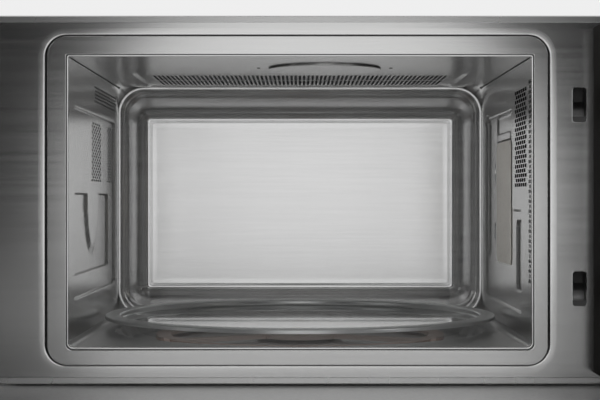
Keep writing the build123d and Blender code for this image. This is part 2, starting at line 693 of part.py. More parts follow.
# Microwave feed: wave guide box on the right wall, magnetron, and the air duct beside them
GUIDE_DEPTH = 34.0
GUIDE_Y = (130.0, 243.0)
GUIDE_Z = (-70.0, 110.0)
GUIDE_X0 = HALF_W + RECESS_DEPTH + SHEET
GUIDE_X1 = GUIDE_X0 + GUIDE_DEPTH
TUBE_Y = 186.5
TUBE_Z = 67.0
TUBE_HALF = 36.5
TUBE_STANDOFF = 10.0
TUBE_YOKE_L = 72.0
TUBE_YOKE_X = (GUIDE_X1 + TUBE_STANDOFF, GUIDE_X1 + TUBE_STANDOFF + TUBE_YOKE_L)
FILTER_L = 38.0
FILTER_H = 22.0
FILTER_INSET = 10.0
YOKE_SHEET = 2.0
ANODE_R = 19.0
ANTENNA_R = 7.5
ANTENNA_HOLE_R = 12.0
FIN_COUNT = 7
FIN_INSET = 10.0
DUCT_Y = (33.0, 118.0)
DUCT_Z = (10.0, 113.0)
DUCT_DEPTH = 36.0


def waveguide():
    box = block((GUIDE_X0, GUIDE_X1), GUIDE_Y, GUIDE_Z)
    box -= block((GUIDE_X0 + SHEET, GUIDE_X1 - SHEET), grown(GUIDE_Y, -SHEET), grown(GUIDE_Z, -SHEET))
    box -= block((GUIDE_X0 - SHEET, GUIDE_X0 + 2 * SHEET), PORT_Y, PORT_Z)
    return box - rod_x(ANTENNA_HOLE_R, (GUIDE_X1 - 2 * SHEET, GUIDE_X1 + SHEET), TUBE_Y, TUBE_Z)


def magnetron():
    """Tube with its yoke, cooling fins, gasket collar, antenna and filter box."""
    y = (TUBE_Y - TUBE_HALF, TUBE_Y + TUBE_HALF)
    z = (TUBE_Z - TUBE_HALF, TUBE_Z + TUBE_HALF)
    inside = grown(TUBE_YOKE_X, -YOKE_SHEET)
    tube = block(TUBE_YOKE_X, y, z) - block(inside, grown(y, SHEET), grown(z, -YOKE_SHEET))
    tube += rod_x(ANODE_R, TUBE_YOKE_X, TUBE_Y, TUBE_Z)
    pitch = (length(inside) - 2 * FIN_INSET) / (FIN_COUNT - 1)
    for index in range(FIN_COUNT):
        x = inside[0] + FIN_INSET + index * pitch
        tube += block((x, x + SHEET), grown(y, -YOKE_SHEET), z)
    tube += rod_x(ANODE_R - SHEET, (GUIDE_X1, TUBE_YOKE_X[0]), TUBE_Y, TUBE_Z)
    tube += rod_x(ANTENNA_R, (GUIDE_X1 - GUIDE_DEPTH / 2, GUIDE_X1), TUBE_Y, TUBE_Z)
    filter_x = (TUBE_YOKE_X[1] - FILTER_L, TUBE_YOKE_X[1])
    return tube + block(filter_x, grown(y, -FILTER_INSET), (z[0] - FILTER_H, z[0]))


def air_duct():
    x = (HALF_W + SHEET, HALF_W + SHEET + DUCT_DEPTH)
    duct = block(x, DUCT_Y, DUCT_Z)
    duct -= block((x[0] - SHEET, x[1] - SHEET), grown(DUCT_Y, -SHEET), grown(DUCT_Z, -SHEET))
    inlet_x = (x[0] + DUCT_DEPTH / 3, x[1] - 2 * SHEET)
    inlet_y = (DUCT_Y[1] - 3 * SHEET, DUCT_Y[1] + SHEET)
    return duct - block(inlet_x, inlet_y, grown(DUCT_Z, -DUCT_DEPTH / 2))


# High-voltage supply on the base plate, along the middle of the bay beside the cavity
BAY_X = CASE_RIGHT - 62.0
CORE_W = 90.0
CORE_X = (BAY_X - CORE_W / 2, BAY_X + CORE_W / 2)
CORE_Y = (52.0, 116.0)
CORE_H = 70.0
COIL_W = 58.0
COIL_X = (BAY_X - COIL_W / 2, BAY_X + COIL_W / 2)
COIL_BULGE = 14.0
COIL_INSET_Z = 10.0
CAN_L = 82.0
CAN_X = (BAY_X - CAN_L / 2, BAY_X + CAN_L / 2)
CAN_Y = (150.0, 184.0)
CAN_H = 46.0
CAN_R = 14.0
TERMINAL_OUT = 9.0
TERMINAL_W = 6.0
TERMINAL_INSET = 11.0
STRAP_W = 20.0
STRAP_X = (BAY_X - STRAP_W / 2, BAY_X + STRAP_W / 2)
STRAP_FOOT = 12.0


def hv_transformer():
    core = block(CORE_X, CORE_Y, (BASE_TOP, BASE_TOP + CORE_H))
    coil_z = (BASE_TOP + COIL_INSET_Z, BASE_TOP + CORE_H - COIL_INSET_Z)
    coil = block(COIL_X, grown(CORE_Y, COIL_BULGE), coil_z)
    return core + fillet(coil.edges().filter_by(Axis.Z), COIL_BULGE * 0.8)


def capacitor_can(grow, x, z):
    can = block(x, grown(CAN_Y, grow), z)
    return fillet(can.edges().filter_by(Axis.X), CAN_R)


def hv_capacitor():
    z = (BASE_TOP, BASE_TOP + CAN_H)
    can = capacitor_can(0, CAN_X, z)
    tab_x = (CAN_X[1] - SHEET, CAN_X[1] + TERMINAL_OUT)
    for y in (CAN_Y[0] + TERMINAL_INSET, CAN_Y[1] - TERMINAL_INSET):
        tab_y = (y - TERMINAL_W / 2, y + TERMINAL_W / 2)
        can += block(tab_x, tab_y, (middle(z), middle(z) + SHEET))
    return can


def capacitor_clamp():
    z = (BASE_TOP, BASE_TOP + CAN_H)
    strap = block(STRAP_X, grown(CAN_Y, SHEET + SEAT_GAP), (z[0], z[1] + SHEET + SEAT_GAP))
    strap = fillet(strap.edges().filter_by(Axis.X).sort_by(Axis.Z)[-2:], CAN_R)
    strap += block(STRAP_X, grown(CAN_Y, SHEET + STRAP_FOOT), (z[0], z[0] + SHEET))
    inside = block(grown(STRAP_X, SHEET), grown(CAN_Y, SEAT_GAP), (z[0] - SHEET, z[1] + SEAT_GAP))
    inside = fillet(inside.edges().filter_by(Axis.X).sort_by(Axis.Z)[-2:], CAN_R - SHEET)
    return strap - inside


# Cooling fan behind the tube: shroud on the rear panel, motor on a bar, and a seven-bladed rotor
FAN_X = BAY_X
FAN_Z = 28.0
FAN_HALF = 57.0
FAN_BORE_R = 50.0
FAN_TIP_GAP = 3.0
FAN_HUB_R = 15.0
FAN_DEPTH = 33.0
FAN_BLADES = 7
FAN_SHAFT_R = 2.5
FAN_MOTOR = (46.0, 24.0, 44.0)
FAN_COIL = (28.0, 36.0, 20.0)
FAN_COIL_R = 4.0
FAN_BAR = (12.0, 6.0)
FAN_BACK = CASE_BACK - SHEET
FAN_FRONT = FAN_BACK - FAN_DEPTH
BLADE_PITCH_DEG = 35.0
BLADE_THICK = 1.6


def fan_shroud():
    x = (FAN_X - FAN_HALF, FAN_X + FAN_HALF)
    z = (FAN_Z - FAN_HALF, FAN_Z + FAN_HALF)
    body = block(x, (FAN_FRONT, FAN_BACK), z)
    return body - rod_y(FAN_BORE_R, (FAN_FRONT - SHEET, FAN_BACK + SHEET), FAN_X, FAN_Z)


def fan_motor():
    bar_y = (FAN_FRONT - FAN_BAR[1], FAN_FRONT)
    bar_z = (FAN_Z - FAN_BAR[0] / 2, FAN_Z + FAN_BAR[0] / 2)
    bar = block((FAN_X - FAN_HALF, FAN_X + FAN_HALF), bar_y, bar_z)
    motor_y = bar_y[0] - FAN_MOTOR[1] / 2
    body = Pos(FAN_X, motor_y, FAN_Z) * Box(*FAN_MOTOR)
    coil = Pos(FAN_X, motor_y, FAN_Z - FAN_MOTOR[2] / 2) * Box(*FAN_COIL)
    bore = rod_y(FAN_SHAFT_R + FIT_GAP, (motor_y, FAN_FRONT + SHEET), FAN_X, FAN_Z)
    return bar + body + fillet(coil.edges().filter_by(Axis.X), FAN_COIL_R) - bore


def fan_rotor():
    hub_y = (FAN_FRONT + FAN_DEPTH / 4, FAN_BACK - FAN_DEPTH / 4)
    rotor = rod_y(FAN_HUB_R, hub_y, FAN_X, FAN_Z)
    rotor += rod_y(FAN_SHAFT_R, (FAN_FRONT - FAN_BAR[1] - FAN_MOTOR[1] / 4, hub_y[0] + SHEET), FAN_X, FAN_Z)
    reach = FAN_BORE_R - FAN_TIP_GAP - FAN_HUB_R + SHEET
    chord = length(hub_y) * 1.1
    for index in range(FAN_BLADES):
        turn = Pos(FAN_X, middle(hub_y), FAN_Z) * Rot(0, 360.0 * index / FAN_BLADES, 0)
        pitch = Pos(FAN_HUB_R - SHEET + reach / 2, 0, 0) * Rot(BLADE_PITCH_DEG, 0, 0)
        rotor += turn * pitch * Box(reach, chord, BLADE_THICK)
    return rotor


# Cavity lamp outside the left wall, behind its middle field of slots
LAMP_X0 = -(HALF_W + RECESS_DEPTH + SHEET)
LAMP_DEPTH = 33.0
LAMP_Y = (LAMP_FIELD_AT[0] - 7.0, LAMP_FIELD_AT[0] + 84.0)
LAMP_Z = (LAMP_FIELD_AT[1] - 6.5, LAMP_FIELD_AT[1] + 66.5)
BULB_R = 11.0
BULB_BASE_R = 7.0
BULB_BASE = 10.0
BULB_GLASS = 15.0


def lamp_holder():
    x = (LAMP_X0 - LAMP_DEPTH, LAMP_X0)
    hood = block(x, LAMP_Y, LAMP_Z)
    return hood - block((x[0] + SHEET, x[1] + SHEET), grown(LAMP_Y, -SHEET), grown(LAMP_Z, -SHEET))


def lamp_bulb():
    seat = LAMP_X0 - LAMP_DEPTH + SHEET
    glass = rod_x(BULB_R, (seat + BULB_BASE, seat + BULB_BASE + BULB_GLASS), middle(LAMP_Y), middle(LAMP_Z))
    glass = fillet(glass.edges(), BULB_R * 0.45)
    return glass + rod_x(BULB_BASE_R, (seat, seat + BULB_BASE + SHEET), middle(LAMP_Y), middle(LAMP_Z))


# Interlock behind the latch slots: bracket with two pockets, two levers and three switches
POCKET_WALL = 3.5
POCKET_SIDE = 1.7
BRACKET_Z = (-112.0, 122.0)
BRACKET_BACK = 31.0
POCKET_BACK = 28.0
POCKET_BELOW = 8.0
POCKET_ABOVE = 4.0
LEDGE_Y = (SHEET, 3.0)
LEVER_Y = 23.0
LEVER_TOE_Y = 17.5
LEVER_THICK = 2.0
LEVER_PIN_R = 1.5
LEVER_DROP = 28.0
LEVER_SIDE = 0.7
SWITCH = (8.0, 20.0, 16.0)
SWITCH_TAB = (2.0, 8.0, 3.0)


def pocket_x():
    return grown(SLOT_X, POCKET_SIDE)


def lever_pivot_z(index):
    return slot_span(index)[0] + LEVER_DROP


def interlock_bracket():
    x = grown(pocket_x(), POCKET_WALL)
    bracket = block(x, (SHEET, BRACKET_BACK), BRACKET_Z)
    for index in range(2):
        slot = slot_span(index)
        bracket -= block(pocket_x(), (0, POCKET_BACK), (slot[0] - POCKET_BELOW, slot[1] + POCKET_ABOVE))
        bracket += block(grown(pocket_x(), SHEET), LEDGE_Y, (slot[0] - POCKET_BELOW, slot[0] + LEDGE_H))
        pin = grown(pocket_x(), POCKET_WALL + SHEET)
        bracket -= rod_x(LEVER_PIN_R + FIT_GAP, pin, LEVER_Y, lever_pivot_z(index))
    return bracket


def interlock_lever(index):
    """Slanted blade that a latch hook swings back, with its pivot pin."""
    x = grown(pocket_x(), -LEVER_SIDE)
    pivot_z = lever_pivot_z(index)
    toe_z = slot_span(index)[0]
    outline = [
        (x[0], LEVER_Y - LEVER_THICK, pivot_z + LEVER_THICK),
        (x[0], LEVER_Y + LEVER_THICK, pivot_z + LEVER_THICK),
        (x[0], LEVER_TOE_Y + LEVER_THICK, toe_z),
        (x[0], LEVER_TOE_Y, toe_z),
    ]
    blade = extrude(Face(Wire.make_polygon(outline, close=True)), amount=length(x), dir=(1, 0, 0))
    return blade + rod_x(LEVER_PIN_R, grown(pocket_x(), POCKET_WALL), LEVER_Y, pivot_z)


def interlock_switches():
    x0 = grown(pocket_x(), POCKET_WALL)[1]
    bodies = []
    for z in (slot_span(0)[0], middle(BRACKET_Z), slot_span(1)[1]):
        centre = (x0 + SWITCH[0] / 2, SHEET + SWITCH[1] / 2, z)
        case = Pos(*centre) * Box(*SWITCH)
        for step in (-1, 0, 1):
            tab_y = (SWITCH[1] + SWITCH_TAB[1]) / 2 - SHEET
            case += Pos(*centre) * Pos(0, tab_y, step * SWITCH[2] / 3) * Box(*SWITCH_TAB)
        bodies.append(case)
    return Compound(bodies)


# Hinge: two brackets on the front plate, each with a pin that runs in the door frame
LEAF_HALF = 9.5
LEAF_REACH = 8.0
FOOT_PLATE = 3.0
FOOT_PLATE_H = 24.0
LEAF_GAP = 0.5


def hinge_side(upper):
    """Z spans of a bracket's leaf, its foot plate and its pin, at the door's top or bottom."""
    if upper:
        leaf = (DOOR_TOP + LEAF_GAP, DOOR_TOP + LEAF_GAP + HINGE_LEAF)
        return leaf, (leaf[0] - FOOT_PLATE_H, leaf[1]), (DOOR_TOP - HINGE_PIN_IN, leaf[1])
    leaf = (DOOR_BOTTOM - LEAF_GAP - HINGE_LEAF, DOOR_BOTTOM - LEAF_GAP)
    return leaf, (leaf[0], leaf[1] + FOOT_PLATE_H), (leaf[0], DOOR_BOTTOM + HINGE_PIN_IN)


def hinge_bracket(upper):
    leaf, foot, pin = hinge_side(upper)
    x = (max(HINGE_X - LEAF_HALF, PLATE_LEFT), HINGE_X + LEAF_HALF)
    bracket = block(x, (HINGE_Y - LEAF_REACH, 0), leaf) + block(x, (-FOOT_PLATE, 0), foot)
    return bracket - disc(HINGE_PIN_R + FIT_GAP, grown(leaf, SHEET), HINGE_Y, HINGE_X)


def hinge_pin(upper):
    return disc(HINGE_PIN_R, hinge_side(upper)[2], HINGE_Y, HINGE_X)


# Latch: one bar in the door's free edge with two hooks, and a leaf spring that bears on it
HOOK_MID_X = middle(SLOT_X)
HOOK_X = (HOOK_MID_X - HOOK_W / 2, HOOK_MID_X + HOOK_W / 2)
HOOK_Z = (15.0, 27.0)
NOSE_DROP = 6.5
NOSE_Y0 = 4.0
BAR_Y = (-29.0, -23.0)
BAR_END = 8.0
SPRING_H = 15.0
SPRING_FOLDS = 6
SPRING_STRIP = 0.8
BAR_Z = (slot_span(1)[0] + HOOK_Z[0] - BAR_END, slot_span(0)[0] + HOOK_Z[1] + BAR_END)


def latch_bar():
    bar = block(HOOK_X, BAR_Y, BAR_Z)
    for index in range(2):
        low = slot_span(index)[0]
        shank = (low + HOOK_Z[0], low + HOOK_Z[1])
        bar += block(HOOK_X, (BAR_Y[0], HOOK_REACH), shank)
        nose = block(HOOK_X, (NOSE_Y0, HOOK_REACH), (shank[0] - NOSE_DROP, shank[0]))
        toe = nose.edges().filter_by(Axis.X).group_by(Axis.Z)[0].sort_by(Axis.Y)[-1]
        bar += chamfer(toe, NOSE_DROP * 0.6)
    return bar


def latch_spring():
    """Folded strip spring between the latch bar's top and the end of its pocket."""
    z0 = BAR_Z[1] + SEAT_GAP
    step = (SPRING_H - SPRING_STRIP) / SPRING_FOLDS
    half = HOOK_W / 2
    folds = []
    for fold in range(SPRING_FOLDS):
        side = half * (-1) ** fold
        z = z0 + fold * step
        leg = [(side, z), (-side, z + step), (-side, z + step + SPRING_STRIP), (side, z + SPRING_STRIP)]
        points = [(HOOK_MID_X + x, BAR_Y[0], height) for x, height in leg]
        face = Face(Wire.make_polygon(points, close=True))
        folds.append(extrude(face, amount=length(BAR_Y), dir=(0, 1, 0)))
    return folds[0] + folds[1:]


# Door: frame, outer glass, screen, inner pane, choke cover, and a bar handle on two posts
SCREEN_Y = (-24.0, -23.0)
PANE_THICK = 4.0
COVER_OUT = 14.0
POST_R = 5.0
POST_INSET = 24.0


def window_block(y):
    return block(WINDOW_X, y, WINDOW_Z)


def door_frame():
    y = (FRAME_OUTER_Y, FRAME_INNER_Y)
    frame = block((DOOR_LEFT, DOOR_RIGHT), y, (DOOR_BOTTOM, DOOR_TOP))
    frame = fillet(frame.edges().filter_by(Axis.Z).sort_by(Axis.X)[:2], DOOR_COVER * 0.6)
    frame -= window_block(grown(y, SHEET))
    room = grown(HOOK_X, LATCH_CLEAR)
    pocket_z = (BAR_Z[0] - LATCH_TRAVEL - LATCH_CLEAR, BAR_Z[1] + SPRING_H + 2 * SEAT_GAP)
    frame -= block(room, grown(BAR_Y, LATCH_CLEAR), pocket_z)
    for index in range(2):
        low = slot_span(index)[0]
        hook_z = (low + HOOK_Z[0] - LATCH_TRAVEL - LATCH_CLEAR, low + HOOK_Z[1] + LATCH_CLEAR)
        frame -= block(room, (BAR_Y[1], FRAME_INNER_Y + SHEET), hook_z)
    for upper in (True, False):
        pin = hinge_side(upper)[2]
        frame -= disc(HINGE_PIN_R + FIT_GAP, grown(pin, LEAF_GAP), HINGE_Y, HINGE_X)
    return frame


def door_outer_glass():
    x = (DOOR_LEFT, DOOR_RIGHT)
    glass = block(x, (DOOR_OUTER_Y, GLASS_BACK_Y), (DOOR_BOTTOM, DOOR_TOP))
    return chamfer(glass.faces().sort_by(Axis.Y)[0].edges(), SHEET)


def door_screen():
    return block(grown(WINDOW_X, -SEAT_GAP), SCREEN_Y, grown(WINDOW_Z, -SEAT_GAP))


def door_inner_window():
    y = (FRAME_INNER_Y - PANE_THICK, FRAME_INNER_Y)
    return block(grown(WINDOW_X, -SEAT_GAP), y, grown(WINDOW_Z, -SEAT_GAP))


def door_choke_cover():
    """Ring moulding on the door's inner face that covers the choke and faces the cavity flange."""
    x = (-GROOVE_HALF_W - COVER_OUT, GROOVE_HALF_W + COVER_OUT)
    z = (DOOR_BOTTOM + DOOR_COVER, DOOR_TOP - DOOR_COVER)
    y = (FRAME_INNER_Y, DOOR_INNER_Y)
    cover = upright_prism(x, z, GROOVE_R, y)
    cover = fillet(cover.faces().sort_by(Axis.Y)[-1].edges(), DOOR_COVER * 0.4)
    return cover - window_block(grown(y, SHEET))


def door_handle():
    bar = disc(HANDLE_R, HANDLE_Z, DOOR_OUTER_Y - HANDLE_STANDOFF, HANDLE_X)
    return fillet(bar.edges().filter_by(GeomType.CIRCLE), HANDLE_R * 0.5)


def handle_posts():
    y = (DOOR_OUTER_Y - HANDLE_STANDOFF, DOOR_OUTER_Y)
    bar = door_handle()
    ends = (HANDLE_Z[0] + POST_INSET, HANDLE_Z[1] - POST_INSET)
    return Compound([(rod_y(POST_R, y, HANDLE_X, z) - bar).solids().sort_by(Axis.Y)[-1] for z in ends])


# Control panel: housing, glass, display, board and two push buttons
BOARD_Y = (-26.0, -24.4)
BOARD_Z = (-90.0, 130.0)
RIB = 4.0
DISPLAY_X = (280.0, 341.0)
DISPLAY_Z = (98.0, 125.0)
DISPLAY_EDGE = 2.0
BUTTON_FLANGE = 1.6
RELAY = (18.0, 13.0, 20.0)
CONTROL_X = (CONTROL_X0, PLATE_RIGHT)
HOUSING_Y = (DOOR_OUTER_Y + CONTROL_GLASS, 0.0)
FACE_BACK = HOUSING_Y[0] + CONTROL_WALL
CONTROL_Z = (DOOR_BOTTOM, DOOR_TOP)


def control_housing():
    body = block(CONTROL_X, HOUSING_Y, CONTROL_Z)
    inside_x = grown(CONTROL_X, -CONTROL_WALL)
    body -= block(inside_x, (FACE_BACK, SHEET), grown(CONTROL_Z, -CONTROL_WALL))
    for x in ((inside_x[0], inside_x[0] + RIB), (inside_x[1] - RIB, inside_x[1])):
        body += block(x, (FACE_BACK, BOARD_Y[0]), BOARD_Z)
    opening = (HOUSING_Y[0] - SHEET, FACE_BACK + SHEET)
    body -= [block(BUTTON_X, opening, z) for z in (STOP_Z, START_Z)]
    return body - block(DISPLAY_X, opening, DISPLAY_Z)


def control_glass():
    y = (DOOR_OUTER_Y, DOOR_OUTER_Y + CONTROL_GLASS)
    glass = block(CONTROL_X, y, CONTROL_Z)
    glass = chamfer(glass.faces().sort_by(Axis.Y)[0].edges(), SHEET)
    return glass - [block(BUTTON_X, grown(y, SHEET), z) for z in (STOP_Z, START_Z)]


def control_board():
    board = block(grown(CONTROL_X, -CONTROL_WALL - SHEET), BOARD_Y, BOARD_Z)
    for z in (BOARD_Z[0] + RELAY[2], middle(BOARD_Z), BOARD_Z[1] - RELAY[2]):
        board += Pos(middle(CONTROL_X), BOARD_Y[1] + RELAY[1] / 2, z) * Box(*RELAY)
    return board


def display_module():
    x = grown(DISPLAY_X, DISPLAY_EDGE)
    return block(x, (FACE_BACK + SEAT_GAP, BOARD_Y[0]), grown(DISPLAY_Z, DISPLAY_EDGE))


def push_button(z):
    cap_y = (DOOR_OUTER_Y - BUTTON_PROUD, FACE_BACK + SEAT_GAP + SHEET)
    cap = block(grown(BUTTON_X, -BUTTON_CLEAR), cap_y, grown(z, -BUTTON_CLEAR))
    cap = fillet(cap.faces().sort_by(Axis.Y)[0].edges(), BUTTON_PROUD * 0.6)
    flange_y = (FACE_BACK + SEAT_GAP, FACE_BACK + SEAT_GAP + BUTTON_FLANGE)
    return cap + block(grown(BUTTON_X, BUTTON_FLANGE), flange_y, grown(z, BUTTON_FLANGE))


# Every piece by name: what stands with the case, and what is carried by the door
fixed = {
    "front_plate": front_plate(),
    "cavity_flange": cavity_flange(),
    "cavity_left_wall": cavity_left_wall(),
    "cavity_right_wall": cavity_right_wall(),
    "cavity_ceiling": cavity_ceiling(),
    "cavity_floor": cavity_floor(),
    "cavity_back_pan": cavity_back_pan(),
    "waveguide_cover": waveguide_cover(),
    "ceiling_disc": ceiling_disc(),
    "glass_tray": glass_tray(),
    "drive_coupler": drive_coupler(),
    "roller_ring": roller_ring(),
    "turntable_motor": turntable_motor(),
    "left_side_panel": side_panel((CASE_LEFT, CASE_LEFT + SHEET), LEFT_VENTS),
    "right_side_panel": side_panel((CASE_RIGHT - SHEET, CASE_RIGHT), RIGHT_VENTS),
    "top_cover": top_cover(),
    "base_plate": base_plate(),
    "rear_panel": rear_panel(),
    "panel_screws": panel_screws(),
    "mains_gland": mains_gland(),
    "feet": feet(),
    "trim_frame": trim_frame(),
    "waveguide": waveguide(),
    "magnetron": magnetron(),
    "air_duct": air_duct(),
    "hv_transformer": hv_transformer(),
    "hv_capacitor": hv_capacitor(),
    "capacitor_clamp": capacitor_clamp(),
    "fan_shroud": fan_shroud(),
    "fan_motor": fan_motor(),
    "fan_rotor": fan_rotor(),
    "lamp_holder": lamp_holder(),
    "lamp_bulb": lamp_bulb(),
    "interlock_bracket": interlock_bracket(),
    "interlock_lever_upper": interlock_lever(0),
    "interlock_lever_lower": interlock_lever(1),
    "interlock_switches": interlock_switches(),
    "hinge_bracket_upper": hinge_bracket(True),
    "hinge_bracket_lower": hinge_bracket(False),
    "hinge_pin_upper": hinge_pin(True),
    "hinge_pin_lower": hinge_pin(False),
    "control_housing": control_housing(),
    "control_glass": control_glass(),
    "control_board": control_board(),
    "display_module": display_module(),
    "stop_button": push_button(STOP_Z),
    "start_button": push_button(START_Z),
}
for number in range(3):
    fixed[f"roller_{number + 1}"] = roller(number)

hung = {
    "door_frame": door_frame(),
    "door_outer_glass": door_outer_glass(),
    "door_screen": door_screen(),
    "door_inner_window": door_inner_window(),
    "door_choke_cover": door_choke_cover(),
    "door_handle": door_handle(),
    "handle_posts": handle_posts(),
    "latch_bar": latch_bar(),
    "latch_spring": latch_spring(),
}

to_hinge = Pos(HINGE_X, HINGE_Y, 0)
swing_open = to_hinge * Rot(0, 0, -DOOR_OPEN_DEG) * to_hinge.inverse()
to_screws = Pos(-TRIM_MID_X, -TRIM_DEPTH, -TRIM_MID_Z)

os.makedirs("parts", exist_ok=True)
for name, piece in fixed.items():
    export_step(to_screws * piece, f"parts/{name}.step")
for name, piece in hung.items():
    export_step(to_screws * swing_open * piece, f"parts/{name}.step")
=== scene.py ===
"""Looks of the built-in microwave oven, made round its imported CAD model.

Lengths are in millimetres about the centre of the cavity mouth: X to the right, Y into the cabinet and Z up.
A mesh is moved into the model's own frame, in metres, as it is made.  The door is drawn shut and swung open.
"""

import math

import bmesh
import bpy
import numpy as np
from mathutils import Matrix, Vector


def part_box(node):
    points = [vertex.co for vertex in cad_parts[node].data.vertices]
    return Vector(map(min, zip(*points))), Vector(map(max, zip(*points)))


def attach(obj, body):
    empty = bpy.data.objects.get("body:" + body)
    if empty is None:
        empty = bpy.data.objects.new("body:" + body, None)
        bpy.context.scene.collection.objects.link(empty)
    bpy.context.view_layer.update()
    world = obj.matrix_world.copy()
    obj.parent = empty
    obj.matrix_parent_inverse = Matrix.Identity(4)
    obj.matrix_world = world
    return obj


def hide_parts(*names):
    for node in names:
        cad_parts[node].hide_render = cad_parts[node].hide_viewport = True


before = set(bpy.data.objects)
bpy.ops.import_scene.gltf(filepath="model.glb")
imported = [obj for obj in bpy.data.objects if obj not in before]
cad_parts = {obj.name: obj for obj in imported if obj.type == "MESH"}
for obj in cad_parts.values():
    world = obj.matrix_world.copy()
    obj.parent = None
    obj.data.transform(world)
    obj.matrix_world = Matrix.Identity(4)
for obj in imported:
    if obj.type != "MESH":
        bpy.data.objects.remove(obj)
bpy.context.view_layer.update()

MM = 0.001
MERGE_M = 1e-6
QUARTER = math.pi / 2
SHEET = 1.0

# The mouth's centre, from the rear pan's rim and the flange's face
pan_low, pan_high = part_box("cavity_back_pan")
MOUTH = (pan_low + pan_high) / 2
MOUTH.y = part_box("cavity_flange")[0].y


def span(node, axis):
    """Two ends of a CAD node along an axis."""
    return tuple((corner[axis] - MOUTH[axis]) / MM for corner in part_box(node))


def middle(ends):
    return (ends[0] + ends[1]) / 2


def half(ends):
    return (ends[1] - ends[0]) / 2


def grown(ends, by):
    return (ends[0] - by, ends[1] + by)


# Cavity
HALF_W = half(span("cavity_back_pan", 0)) - SHEET
HALF_H = half(span("cavity_back_pan", 2)) - SHEET
SIDE_DEPTH = span("cavity_back_pan", 1)[0]
PAN_Y = span("cavity_back_pan", 1)[1] - SHEET
FLOOR_R = 6.0
WALL_Y = (SHEET, SIDE_DEPTH)
SEAM = 0.9
WALL_Z = (FLOOR_R - HALF_H, HALF_H - SEAM)

# Front plate, groove, flange and latch slots
PLATE_X = span("front_plate", 0)
PLATE_Z = span("front_plate", 2)
GROOVE_X = (-232.0, 227.2)
GROOVE_Z = (-148.7, 152.0)
GROOVE_R = 19.5
GROOVE_DEPTH = 2.6
FLANGE_X = (-230.0, 225.7)
FLANGE_Z = (-148.4, 151.3)
SLOT_X = (248.0, 260.7)
SLOT_Z = ((73.0, 104.3), (-94.4, -63.1))
SLOT_R = 2.6

# Rear pan
PAN_FLOOR_X = (-185.3, 185.3)
PAN_FLOOR_Z = (-104.5, 101.0)
PAN_FLOOR_R = 5.0
PAN_MOUTH_R = 29.0

# Turntable
TABLE_Y = middle(span("glass_tray", 1))
TRAY_R = half(span("glass_tray", 0))
TRAY_Z = span("glass_tray", 2)
TRAY_BASE_R = 172.0
TRAY_RIM_R = TRAY_R - 18.0
TRAY_FLOOR_R = TRAY_R - 22.0
TRAY_DIP = 4.6
WELL_R = 192.0
WELL_Z = span("cavity_floor", 2)[0] + SHEET
SCOOP_R = 212.0


# A socket of a material's tree that can be reckoned with
class Wire:
    def __init__(self, tree, socket=None):
        self.tree = tree
        self.socket = socket

    def node(self, kind, inputs=(), out=0, **settings):
        """Add a node, give it its settings, then feed its sockets with values or wires."""
        made = self.tree.nodes.new(kind)
        for key, value in settings.items():
            setattr(made, key, value)
        for key, value in dict(inputs).items():
            if isinstance(value, Wire):
                self.tree.links.new(value.socket, made.inputs[key])
            else:
                made.inputs[key].default_value = value
        return Wire(self.tree, None if out is None else made.outputs[out])

    def maths(self, operation, a, b=0.0, clamp=False):
        return self.node("ShaderNodeMath", {0: a, 1: b}, operation=operation, use_clamp=clamp)

    def __add__(self, other):
        return self.maths("ADD", self, other)

    def __sub__(self, other):
        return self.maths("SUBTRACT", self, other)

    def __mul__(self, other):
        return self.maths("MULTIPLY", self, other)

    __radd__ = __add__

    def above(self, level, soft):
        """One where the value is over a level and nought below it, with a soft change between."""
        return self.maths("MULTIPLY", self - level, 1 / soft, clamp=True)


def stretched(wire, scale):
    """Object coordinates in metres, scaled on each axis or by one number on all."""
    place = wire.node("ShaderNodeTexCoord", out="Object")
    scales = scale if isinstance(scale, tuple) else (scale,) * 3
    return wire.node("ShaderNodeVectorMath", {0: place, 1: scales}, operation="MULTIPLY")


def noise(wire, scale, detail=2.0, roughness=0.5):
    feed = {"Vector": stretched(wire, scale), "Scale": 1.0, "Detail": detail, "Roughness": roughness}
    return wire.node("ShaderNodeTexNoise", feed, out="Fac")


def tint(wire, share, first, second):
    """Colour between two, by a share."""
    feed = {0: share, 6: (*first, 1.0), 7: (*second, 1.0)}
    return wire.node("ShaderNodeMix", feed, out=2, data_type="RGBA", clamp_factor=True)


def relief(wire, height, strength, distance):
    feed = {"Height": height, "Strength": strength, "Distance": distance}
    return wire.node("ShaderNodeBump", feed, out="Normal")


def finish(name, make):
    """Material whose surface is the shader that a function draws."""
    made = bpy.data.materials.new(name)
    made.use_nodes = True
    wire = Wire(made.node_tree)
    wire.tree.nodes.clear()
    wire.node("ShaderNodeOutputMaterial", {"Surface": make(wire)}, out=None)
    return made


def principled(wire, colour, rough, **more):
    feed = {"Base Color": colour, "Roughness": rough}
    feed.update({key.replace("_", " "): value for key, value in more.items()})
    return wire.node("ShaderNodeBsdfPrincipled", feed)


def shade(tone, by):
    return tuple(part * by for part in tone)


def drawn_later(draw):
    """A finish that takes its values now and draws its nodes when its material is made."""
    return lambda *values, **more: lambda wire: draw(wire, *values, **more)


@drawn_later
def brushed(wire, tone, grain, rough, contrast=0.06, depth=0.02):
    """Brushed stainless sheet: hair-fine scratches, wider streaks and faint clouds."""
    hair = noise(wire, grain, 3.0, 0.6)
    streak = noise(wire, shade(grain, 0.22))
    cloud = noise(wire, 7.0)
    mark = hair * 0.40 + streak * 0.40 + cloud * 0.20
    colour = tint(wire, mark, shade(tone, 1 - contrast * 2), shade(tone, 1 + contrast * 2))
    worn = rough + (streak - 0.5) * 0.06
    more = {"Normal": relief(wire, hair * 0.6 + streak * 0.4, depth, 0.0004)} if depth else {}
    return principled(wire, colour, worn, Metallic=1.0, **more)


